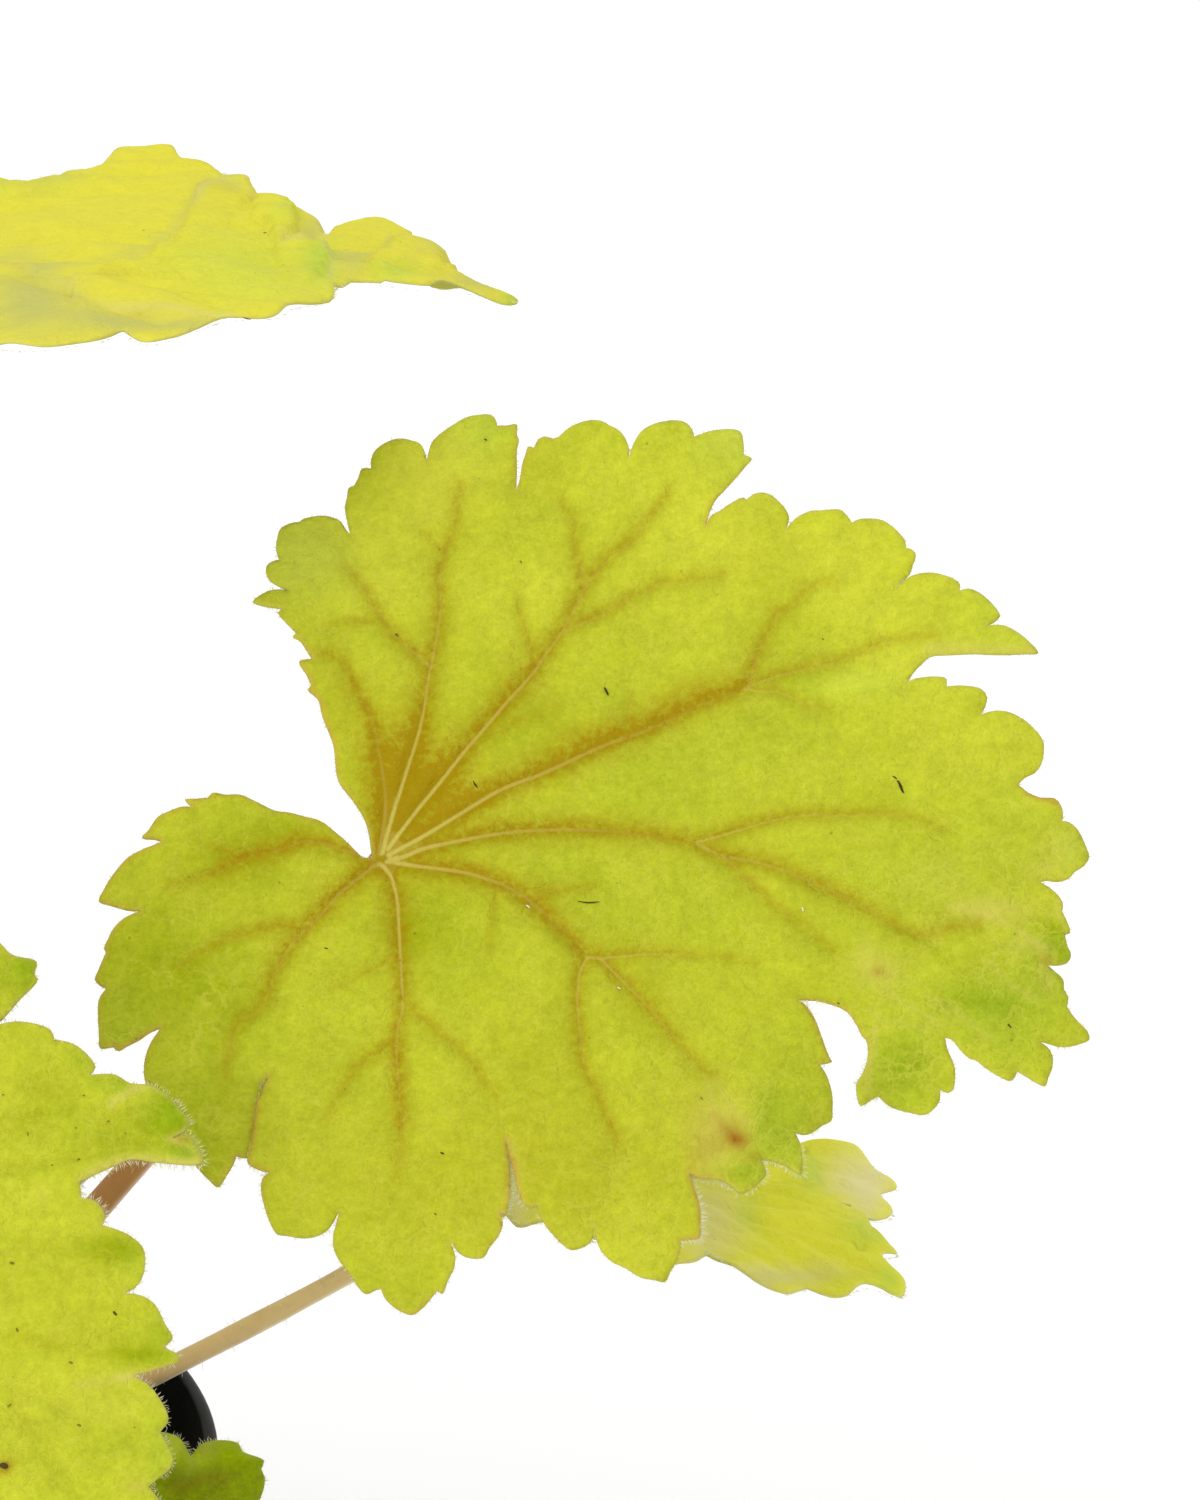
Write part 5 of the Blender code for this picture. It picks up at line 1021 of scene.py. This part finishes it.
def blade_axes(heading, pitch):
    turn = Matrix.Rotation(math.radians(heading), 3, "Z") @ Matrix.Rotation(math.radians(-pitch), 3, "Y")
    return [np.array(turn @ Vector(axis)) for axis in ((1, 0, 0), (0, 1, 0), (0, 0, 1))]


def other_placement(junction, axes, length, seed):
    midrib, left, normal = axes
    phase = random.Random(seed + 100).uniform(0.0, 6.0)

    def place(p, q, relief):
        reach, angle = np.hypot(p, q) / length, np.arctan2(q, p)
        height = -0.16 * (p / length) ** 2 - 0.13 * (q / length) ** 2 - 0.025 * bell(reach, 0.16)
        height += 0.045 * reach**2 * np.sin(5.0 * angle + phase)
        up = height * length + relief
        return junction + p[:, None] * midrib + q[:, None] * left + up[:, None] * normal

    return place


def palmate_outline(length, seed):
    """Outline of one of the other blades and the tips of its lobes."""
    draw = random.Random(seed)
    points, tips = [(-0.02 * length, -0.035 * length)], []
    for centre, reach, half in LOBES:
        centre += draw.uniform(-2.5, 2.5)
        reach *= draw.uniform(0.94, 1.06) * length
        tips.append(polar(reach, math.radians(centre)))
        for k in range(TEETH):
            middle = (k + 0.5) / TEETH * 2.0 - 1.0
            crown = reach * (1.0 - 0.15 * middle * middle)
            for offset, depth in TOOTH_SHAPE:
                angle = centre + half * (middle + 1.0 / TEETH * offset)
                radius = crown * depth * draw.uniform(0.99, 1.01)
                if k == TEETH - 1 and offset > 0.9:
                    angle, radius = centre + half * 1.04, crown * 0.80
                points.append(polar(radius, math.radians(angle)))
    return np.array([*points, (-0.02 * length, 0.035 * length)]), np.array(tips)


def make_blade(leaf):
    """One blade: both faces and the margin, its veins sunk above and raised below. Returns its hairs' roots."""
    looks, seed = leaf.looks, leaf.seed
    veins = Veins(leaf.veins)
    flat, faces = split_blade(rounded(leaf.outline, leaf.spacing * 0.8), veins, leaf.spacing, seed)
    _, edge = nearest(flat, tree_of(rounded(leaf.outline, 0.1)))
    index, away = nearest(flat, veins.tree)
    size = veins.strength[index]
    painted = flat if leaf.profile is None else np.column_stack((flat[:, 0], leaf.profile(*flat.T)))
    inner = np.clip(edge / MARGIN_WIDTH, 0.0, 1.0)
    height = DOME_RISE * (1.0 - bell(away, DOME_WIDTH)) * (0.3 + 0.7 * inner)
    height -= VEIN_DEPTH * np.sqrt(size) * bell(away, VEIN_WIDTH)
    height += 0.45 * grain(flat, 8.0, seed) + 0.14 * grain(flat, 3.0, seed + 1)
    height += MARGIN_WAVE * (1.0 - inner) * grain(flat, 5.5, seed + 2)
    height = height * looks.get("relief", 1.0) + folds(painted, looks.get("steps", ()))
    middle = leaf.place(*flat.T, height)
    normal = point_normals(middle, faces)
    half = BLADE_THICKNESS / 2.0 * np.clip(0.35 + edge / 0.6, 0.35, 1.0)
    ridge = 0.5 * size * bell(away, 0.3 + 0.35 * size) * np.clip(edge, 0.0, 1.0)
    top, bottom = middle + normal * half[:, None], middle - normal * (half + ridge)[:, None]
    count = len(flat)
    ends = np.vstack((faces[:, [0, 1]], faces[:, [1, 2]], faces[:, [2, 0]]))
    key = np.sort(ends, axis=1)
    _, first, times = np.unique(key[:, 0] * count + key[:, 1], return_index=True, return_counts=True)
    rim = ends[first[times == 1]]
    quads = np.column_stack((rim[:, 1], rim[:, 0], rim[:, 0] + count, rim[:, 1] + count))
    values = {
        key: field(painted, looks.get(key, ()), looks.get("base_" + key, base)) for key, base in FIELD_BASES.items()
    }
    # Painted shade: darker, greener tone on the side of each vein that turns down and away from the light
    lean = (flat - veins.points[index]) @ np.array((0.34, -0.94))
    shade = size * bell(lean - 0.55, 0.45) * bell(away, 1.2)
    values["tone"] -= 0.5 * shade
    values["fresh"] += 0.25 * shade
    values.update(vein=away, size=size, edge=edge, under=np.zeros(count))
    values["pale"] = veins.pale[index] * looks.get("pale_lines", 1.0)
    values["halo"] = veins.halo(flat) * looks.get("base_halo", 1.0)
    attributes = {key: np.tile(value, 2) for key, value in values.items()}
    attributes["under"][count:] = 1.0
    plan = np.tile(np.column_stack((flat, np.full(count, seed * 13.7))), (2, 1))
    faces = [*faces, *(faces[:, ::-1] + count), *quads]
    points = np.vstack((top, bottom))
    new_piece(f"{leaf.node}_blade", points, faces, leaf.skin, leaf.node, leaf.slot, attributes, plan)
    if "marks" in looks:
        scatter_specks(leaf, painted, top, normal)
    return margin_hairs(leaf)


def scatter_specks(leaf, painted, top, normal):
    """Crumbs of dirt lying on a blade: short flattened slivers, darker or paler by their shade."""
    tree = tree_of(painted)
    draw = np.random.default_rng(leaf.seed + 70)
    points, faces, shades = [], [], []
    stations = np.linspace(-0.9, 0.9, SPECK_RINGS)
    for shade, radius, route in leaf.looks["marks"]:
        line = curve_through(parse_route(route), 0.05)
        line = line[np.linspace(0, len(line) - 1, SPECK_RINGS).astype(int)]
        index, _ = nearest(line, tree)
        spots = top[index] + np.column_stack((line - painted[index], np.zeros(len(line))))
        up = normal[index[2]]
        spots = spots - np.outer((spots - spots[2]) @ up, up) + up * radius * 0.4
        along = spots[-1] - spots[0]
        along /= max(np.linalg.norm(along), 1e-6)
        side = np.cross(up, along)
        faces += tube_faces(len(points), SPECK_RINGS, SPECK_SIDES)
        for spot, wide in zip(spots + np.outer(stations, along) * radius, np.sqrt(1.0 - stations**2)):
            for k in range(SPECK_SIDES):
                angle = 2 * math.pi * k / SPECK_SIDES
                reach = radius * wide * draw.uniform(0.75, 1.15)
                points.append(spot + (side * math.cos(angle) + up * 0.5 * math.sin(angle)) * reach)
        shades += [shade] * SPECK_RINGS * SPECK_SIDES
    new_piece(f"{leaf.node}_specks", points, faces, leaf.dirt, leaf.node, leaf.slot, {"shade": shades})


def margin_hairs(leaf):
    """Roots, directions and lengths of the hairs along a margin."""
    draw = np.random.default_rng(leaf.seed + 50)
    line = rounded(leaf.outline, 0.13)
    run = np.roll(line, -4, 0) - np.roll(line, 4, 0)
    out = unit(np.column_stack((run[:, 1], -run[:, 0])) * np.sign(signed_area(line)))
    shag = field(line, leaf.looks.get("hairy", ()), leaf.looks.get("base_hairy", 0.25))
    keep = draw.uniform(0.0, 1.0, len(line)) < np.clip(0.15 + 0.8 * shag, 0.0, 0.95)
    line, out, shag = line[keep], out[keep], shag[keep]
    lean = draw.uniform(-0.6, 0.6, len(line))[:, None] * np.column_stack((-out[:, 1], out[:, 0]))
    lift = draw.uniform(-0.5, 0.5, len(line))
    roots = leaf.place(*line.T, np.zeros(len(line)))
    ends = leaf.place(*(line + out + lean).T, lift)
    return roots, ends - roots, (0.35 + 0.65 * np.clip(shag, 0.0, 1.0)) * draw.uniform(0.55, 1.15, len(line))


def stalk_route(foot, bend, arrival, junction, end):
    """Straight up from its hole to the soil's top, then one smooth curve to the blade."""
    neck = np.array((foot[0], foot[1], SOIL_LEVEL + 1.5))
    t = np.linspace(0.0, 1.0, STALK_STEPS)[:, None]
    u = 1.0 - t
    curve = neck * u**3 + bend * 3.0 * u * u * t + arrival * 3.0 * u * t * t + junction * t**3
    return np.vstack((foot, curve, end))


def make_stalk(leaf):
    """A tapering stalk with a faint groove. Returns the roots, directions and lengths of its hairs."""
    draw = np.random.default_rng(leaf.seed + 90)
    route, count = leaf.route, len(leaf.route)
    share = np.concatenate(([0.0], np.linspace(0.0, 1.0, count - 2), [1.0]))
    radii = STALK_FOOT_RADIUS + (leaf.top - STALK_FOOT_RADIUS) * share**0.4
    radii[-1] = leaf.top * 0.3
    radii *= 1.0 + 0.03 * np.sin(np.arange(count) * 0.9 + leaf.seed)
    along = unit(np.gradient(route, axis=0))
    side = np.cross(along[0], (0.0, 1.0, 0.3))
    angles = np.linspace(0.0, 2 * math.pi, STALK_SIDES, endpoint=False)
    groove = 1.0 + 0.05 * np.cos(2 * angles) - 0.06 * bell(angles - math.pi, 0.4)
    spokes = []
    for forward in along:
        side = side - forward * (side @ forward)
        side /= np.linalg.norm(side)
        spokes.append(np.cos(angles)[:, None] * side + np.sin(angles)[:, None] * np.cross(forward, side))
    spokes = np.array(spokes)
    points = (route[:, None] + spokes * (radii[:, None] * groove)[..., None]).reshape(-1, 3)
    length = np.concatenate(([0.0], np.cumsum(np.linalg.norm(np.diff(route, axis=0), axis=1))))
    plan = [polar(1.6, angle, run * 0.05 + leaf.seed) for run in length for angle in angles]
    flank = 0.5 + 0.5 * (spokes.reshape(-1, 3) @ np.array(STALK_PALE_SIDE))
    values = {"along": np.repeat(share, STALK_SIDES), "flank": flank}
    faces = tube_faces(0, count, STALK_SIDES)
    new_piece(f"{leaf.node}_stalk", points, faces, leaf.stalk_skin, leaf.node, leaf.slot, values, plan)
    hairs = int(length[-1] * STALK_HAIRS_PER_MM)
    spot = draw.uniform(length[2], length[-2], hairs)
    angle = draw.uniform(0.0, 2 * math.pi, hairs)
    near = np.searchsorted(length, spot) - 1
    aims = spokes[near, (angle / (2 * math.pi) * STALK_SIDES).astype(int) % STALK_SIDES]
    centre = np.column_stack([np.interp(spot, length, route[:, k]) for k in range(3)])
    roots = centre + aims * np.interp(spot, length, radii)[:, None]
    aims = aims - along[near] * draw.uniform(-0.2, 0.5, hairs)[:, None]
    return roots, aims, draw.uniform(0.4, 1.15, hairs)


def build_leaf(leaf):
    """Blade, specks, stalk and hairs of one leaf."""
    hairs = [np.concatenate(pair) for pair in zip(make_blade(leaf), make_stalk(leaf))]
    new_piece(f"{leaf.node}_hairs", *bent_hairs(*hairs, leaf.seed), leaf.hair, leaf.node, leaf.slot)


def ring_foot(degrees, ring):
    return np.array(polar(ring, math.radians(degrees), FOOT_HEIGHT))


def turned(profile, segments):
    """Points and faces of (radius, height) pairs turned round Z, its ends on the axis."""
    points, faces, rings = [], [], []
    for radius, height in profile:
        sides = 1 if radius == 0.0 else segments
        rings.append(range(len(points), len(points) + sides))
        points += [polar(radius, 2 * math.pi * k / segments, height) for k in range(sides)]
    for low, high in zip(rings, rings[1:]):
        for k in range(segments):
            n = (k + 1) % segments
            if len(low) == 1:
                faces.append((low[0], high[k], high[n]))
            elif len(high) == 1:
                faces.append((low[k], low[n], high[0]))
            else:
                faces.append((low[k], low[n], high[n], high[k]))
    return np.array(points), faces


def rounded_profile(corners, radius=0.5, steps=4):
    """The profile with each corner off the axis rounded by a small arc."""
    corners = [np.array(c, float) for c in corners]
    out = [tuple(corners[0])]
    for before, corner, after in zip(corners, corners[1:], corners[2:]):
        spans = [np.linalg.norm(before - corner), np.linalg.norm(after - corner)]
        reach = min(radius, spans[0] * 0.45, spans[1] * 0.45)
        a = corner + (before - corner) / spans[0] * reach
        b = corner + (after - corner) / spans[1] * reach
        for t in np.arange(steps + 1) / steps:
            out.append(tuple(a * (1 - t) ** 2 + corner * 2 * t * (1 - t) + b * t * t))
    return out + [tuple(corners[-1])]


def make_pot():
    """The nursery pot with rounded edges and its drain holes."""
    wall, top = POT_WALL, POT_HEIGHT
    outside = ((0.0, 0.0), (40.0, 0.0), (42.0, 2.0), (55.6, 87.0), (59.2, 87.6), (60.0, top - 0.6), (59.4, top))
    lining = ((58.4, top), (59.2 - wall, 89.2), (55.6 - wall, 88.6), (42.0 - wall, 3.5), (40.5 - wall, 2.0))
    pot = add_mesh("pot_body", *turned(rounded_profile((*outside, *lining, (0.0, 2.0))), POT_SEGMENTS))
    holes = []
    for k in range(DRAIN_HOLES):
        cap, sides = turned(((0.0, -3.0), (DRAIN_RADIUS, -3.0), (DRAIN_RADIUS, 5.0), (0.0, 5.0)), 32)
        cap += polar(DRAIN_RING, 2 * math.pi * (k + 0.5) / DRAIN_HOLES, 0.0)
        hole = add_mesh(f"drain_{k}", cap, sides)
        holes.append(hole)
        cut = pot.modifiers.new(hole.name, "BOOLEAN")
        cut.operation, cut.solver, cut.object = "DIFFERENCE", "EXACT", hole
    graph = bpy.context.evaluated_depsgraph_get()
    mesh = bpy.data.meshes.new_from_object(pot.evaluated_get(graph))
    pot.modifiers.clear()
    pot.data = mesh
    for hole in holes:
        bpy.data.objects.remove(hole)
    mesh.materials.clear()
    mesh.materials.append(pot_material())
    mesh.shade_smooth()
    mesh.set_sharp_from_angle(angle=math.radians(32.0))
    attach(pot, "root")
    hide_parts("pot")


def crumb(draw, size):
    """Points and faces of one irregular crumb about its own centre."""
    bm = bmesh.new()
    bmesh.ops.create_icosphere(bm, subdivisions=1, radius=1.0)
    squash = np.array([draw.uniform(0.7, 1.2), draw.uniform(0.6, 1.0), draw.uniform(0.5, 0.9)])
    points = np.array([v.co for v in bm.verts])
    points *= (1.0 + np.array([draw.uniform(-0.22, 0.22) for _ in points]))[:, None] * squash * size
    faces = [tuple(v.index for v in f.verts) for f in bm.faces]
    bm.free()
    turn = Matrix.Rotation(draw.uniform(0, 6.28), 3, (draw.uniform(-1, 1), draw.uniform(-1, 1), 0.7))
    return points @ np.array(turn).T, faces


def soil_height(x, y):
    sizes = ((1.3, 11.0, 4.0), (0.7, 4.0, 9.0), (0.3, 1.6, 2.0))
    bumps = sum(rise * noise.noise(Vector((x / size, y / size, seed))) for rise, size, seed in sizes)
    reach = math.hypot(x, y)
    return SOIL_LEVEL + bumps * min(1.0, 0.5 + reach / 40.0) - 0.8 * (reach / SOIL_RADIUS) ** 4


def make_soil(material):
    """Peat with a crumbly top: a fine rough surface and loose crumbs of many sizes lying on it."""
    surface = [(SOIL_RADIUS * k / SOIL_RINGS, SOIL_LEVEL) for k in reversed(range(SOIL_RINGS + 1))]
    points, faces = turned(surface, SOIL_SEGMENTS)
    for p in points:
        p[2] = soil_height(p[0], p[1])
    under = ((0.0, 2.35), (37.5, 2.35), (39.8, 4.4), (52.9, 84.0), (SOIL_RADIUS, SOIL_LEVEL - 1.0))
    base, base_faces = turned(under, SOIL_SEGMENTS)
    outer = len(points) + len(base) - SOIL_SEGMENTS
    faces += shifted(base_faces, len(points))
    for k in range(SOIL_SEGMENTS):
        n = (k + 1) % SOIL_SEGMENTS
        faces.append((outer + k, outer + n, n, k))
    new_piece("soil_body", np.vstack((points, base)), faces, material, "soil", "soil")
    draw = random.Random(21)
    crumbs, crumb_faces, total = [], [], 0
    for _ in range(SOIL_CRUMBS):
        reach, angle = 51.0 * math.sqrt(draw.random()), draw.uniform(0.0, 2 * math.pi)
        size = 0.35 + 1.5 * draw.random() ** 3
        cloud, sides = crumb(draw, size)
        x, y = polar(reach, angle)
        crumbs.append(cloud + (x, y, soil_height(x, y) + size * 0.25))
        crumb_faces += shifted(sides, total)
        total += len(cloud)
    new_piece("soil_crumbs", np.vstack(crumbs), crumb_faces, material, "soil", "soil")


def make_crown(material):
    """The short scaly rootstock, with the dry stubs of old stalks."""
    profile = [(0.0, FOOT_HEIGHT), (6.5, FOOT_HEIGHT), (6.5, 87.0)]
    profile += [(6.9 * math.cos(a) ** 0.6 + 0.01, 87.5 + 6.0 * math.sin(a)) for a in np.linspace(0.0, 1.5, 14)]
    points, faces = turned(profile + [(0.0, 93.6)], CROWN_SEGMENTS)
    for p in points:
        if p[2] > 86.5:
            push = 0.6 * noise.noise(Vector(p / 2.2)) + 0.35 * noise.noise(Vector(p / 0.9))
            p[:2] *= 1.0 + push * 0.09
            p[2] += push * 0.4
    draw = random.Random(8)
    for _ in range(OLD_STUBS):
        angle, reach = draw.uniform(0.0, 2 * math.pi), draw.uniform(2.2, 4.6)
        lean = np.array(polar(1.0, angle, 0.0)) * draw.uniform(0.8, 2.0)
        tall, thick = draw.uniform(2.2, 3.9), draw.uniform(0.7, 1.1)
        stub, sides = turned(((0.0, 0.0), (thick, 0.0), (thick * 0.9, 0.6), (thick * 0.75, 1.0), (0.0, 0.93)), 12)
        stub = stub * (1.0, 1.0, tall) + polar(reach, angle, 89.5) + stub[:, 2:] * lean
        faces += shifted(sides, len(points))
        points = np.vstack((points, stub))
    new_piece("crown_body", points, faces, material, "crown", "crown")


def front_leaves(skins, pink, tan):
    """The five leaves of the front view, from their outlines."""
    lime, yellow, rear, dark = skins
    table = (
        (LARGE_OUTLINE, None, LARGE_JUNCTION, large_height, 0.5, lime, pink, LARGE_LOOKS),
        (HIGH_OUTLINE, HIGH_TIPS, HIGH_JUNCTION, high_height, 0.6, yellow, tan, HIGH_LOOKS),
        (FRONT_OUTLINE, FRONT_TIPS, FRONT_JUNCTION, front_height, 0.6, lime, tan, FRONT_LOOKS),
        (REAR_OUTLINE, REAR_TIPS, REAR_JUNCTION, rear_height, 0.65, rear, tan, REAR_LOOKS),
        (LOW_OUTLINE, LOW_TIPS, LOW_JUNCTION, low_height, 0.6, dark, tan, LOW_LOOKS),
    )
    for seed, (text, tips, junction, height, spacing, skin, stalk_skin, looks) in enumerate(table, 1):
        node = f"leaf_{seed:02d}"
        on_edge = height in (high_height, rear_height)
        place = (edgewise if on_edge else facing)(junction, height)
        points, notches = parse_outline(text)
        if tips is None:
            place, veins = tucked(place), parse_veins(LARGE_VEINS)
        else:
            notches = find_notches(points)
            veins = branch_veins(tips, rounded((points, notches), 0.5), seed)
        degrees, ring, bend, arrival, top, inset = FRONT_STALKS[node]
        inner, end = place(np.array((0.0, inset[0])), np.array((0.0, inset[1])), np.zeros(2))
        down = UP if on_edge else BACK
        arms = np.array(bend), np.array(arrival), inner - down * (0.8 * top + BLADE_DIP), end - down * BLADE_DIP
        yield SimpleNamespace(
            node=node,
            seed=seed,
            outline=(points, notches),
            veins=veins,
            place=place,
            profile=height if on_edge else None,
            spacing=spacing,
            looks=parse_looks(looks),
            skin=skin,
            stalk_skin=stalk_skin,
            slot="leaf_green" if skin is dark else "leaf_lime",
            route=stalk_route(ring_foot(degrees, ring), *arms),
            top=top,
        )


def other_leaves(lime, pink, tan):
    """The rest of the plant's leaves, each drawn by its own seed."""
    for seed, (foot_degrees, ring, degrees, reach, height, pitch, turn, length, bow) in OTHER_LEAVES.items():
        junction = np.array(polar(reach, math.radians(degrees), height))
        axes = blade_axes(degrees + turn, pitch)
        place = other_placement(junction, axes, length, seed)
        points, tips = palmate_outline(length, seed)
        outline = points, find_notches(points, 40.0)
        foot = ring_foot(foot_degrees, ring)
        centre, end = place(np.array((0.0, 0.05 * length)), np.zeros(2), np.zeros(2))
        top = 0.8 + 0.45 * length / 48.0
        span = np.linalg.norm(junction - foot)
        bend = foot + (centre - foot) * 0.04 + np.array((0.0, 0.0, bow * span))
        bend[2] = max(bend[2], SOIL_LEVEL + 10.0)
        arrival = centre - axes[0] * 0.3 * span - np.array((0.0, 0.0, 0.05 * span))
        arms = bend, arrival, centre - axes[2] * (0.8 * top + BLADE_DIP), end - axes[2] * BLADE_DIP
        yield SimpleNamespace(
            node=f"leaf_{seed:02d}",
            seed=seed,
            outline=outline,
            veins=branch_veins(tips * 0.97, rounded(outline, 0.5), seed),
            place=place,
            profile=None,
            spacing=0.85,
            looks={
                "base_tone": 0.55 + 0.35 * random.Random(seed).random(),
                "base_halo": 0.8,
                "blush": ((0.16 * length, 0.0, 0.16 * length, 0.12 * length, 0.5),),
                "relief": length / 45.0,
            },
            skin=lime,
            stalk_skin=pink if seed % 2 else tan,
            slot="leaf_lime",
            route=stalk_route(foot, *arms),
            top=top,
        )


def build():
    skins = [
        leaf_material("leaf_" + name, *colours, BEIGE if name == "rear" else WAN, GRAININESS[name])
        for name, colours in SKINS.items()
    ]
    pink = stalk_material("stalk_pink", (0.33, 0.13, 0.04), (0.44, 0.22, 0.045), (0.72, 0.5, 0.36))
    tan = stalk_material("stalk_tan", (0.56, 0.34, 0.14), (0.68, 0.54, 0.24), (0.84, 0.8, 0.6))
    hair, dirt = hair_material(), speck_material()
    for leaf in (*front_leaves(skins, pink, tan), *other_leaves(skins[0], pink, tan)):
        leaf.hair, leaf.dirt = hair, dirt
        leaf.spacing *= COARSENESS
        build_leaf(leaf)
    make_pot()
    make_soil(peat_material())
    make_crown(bark_material())


def add_light(name, place, aim, size, power, colour):
    lamp = bpy.data.lights.new(name, "AREA")
    lamp.shape, lamp.size, lamp.energy, lamp.color = "DISK", size, power, colour
    holder = add_object(name, lamp)
    holder.location = place
    holder.rotation_euler = (Vector(aim) - Vector(place)).to_track_quat("-Z", "Y").to_euler()


def make_studio():
    """White floor, soft light and the camera of the front view."""
    corners = [(x * FLOOR_REACH, y * FLOOR_REACH, 0.0) for x, y in ((-1, -1), (1, -1), (1, 1), (-1, 1))]
    floor = add_mesh("floor", corners, [(0, 1, 2, 3)])
    floor.location.z = FLOOR_LEVEL * MM
    s = Shader("floor_white")
    colour = s.mix(s.noise(s.place(), 3.0), (0.93, 0.93, 0.93), (0.95, 0.95, 0.95))
    floor.data.materials.append(s.finish(s.skin(colour, 0.9, 0.5)))

    world = bpy.data.worlds.new("studio")
    world.use_nodes = True
    background = world.node_tree.nodes["Background"]
    background.inputs["Color"].default_value = (1.0, 1.0, 1.0, 1.0)
    background.inputs["Strength"].default_value = SKY_STRENGTH
    bpy.context.scene.world = world
    add_light("key", (-0.35, -0.55, 1.35), (0.05, 0.0, 0.15), 0.9, 6.0, (1.0, 0.985, 0.96))
    add_light("fill", (-0.6, -1.1, 0.65), (0.05, 0.0, 0.16), 0.9, 5.0, (1.0, 1.0, 1.0))
    add_light("back", (0.7, 0.9, 1.1), (0.05, 0.0, 0.15), 0.8, 4.0, (1.0, 1.0, 1.0))

    lens = bpy.data.cameras.new("camera")
    lens.lens, lens.sensor_width = FOCAL_LENGTH, SENSOR_WIDTH
    lens.clip_start, lens.clip_end = 0.01, 50.0
    camera = add_object("camera", lens)
    camera.location = Vector(EYE) * MM
    camera.rotation_euler = Vector(-BACK).to_track_quat("-Z", "Y").to_euler()
    bpy.context.scene.camera = camera
    bpy.context.scene.view_settings.view_transform = "Standard"


build()
make_studio()
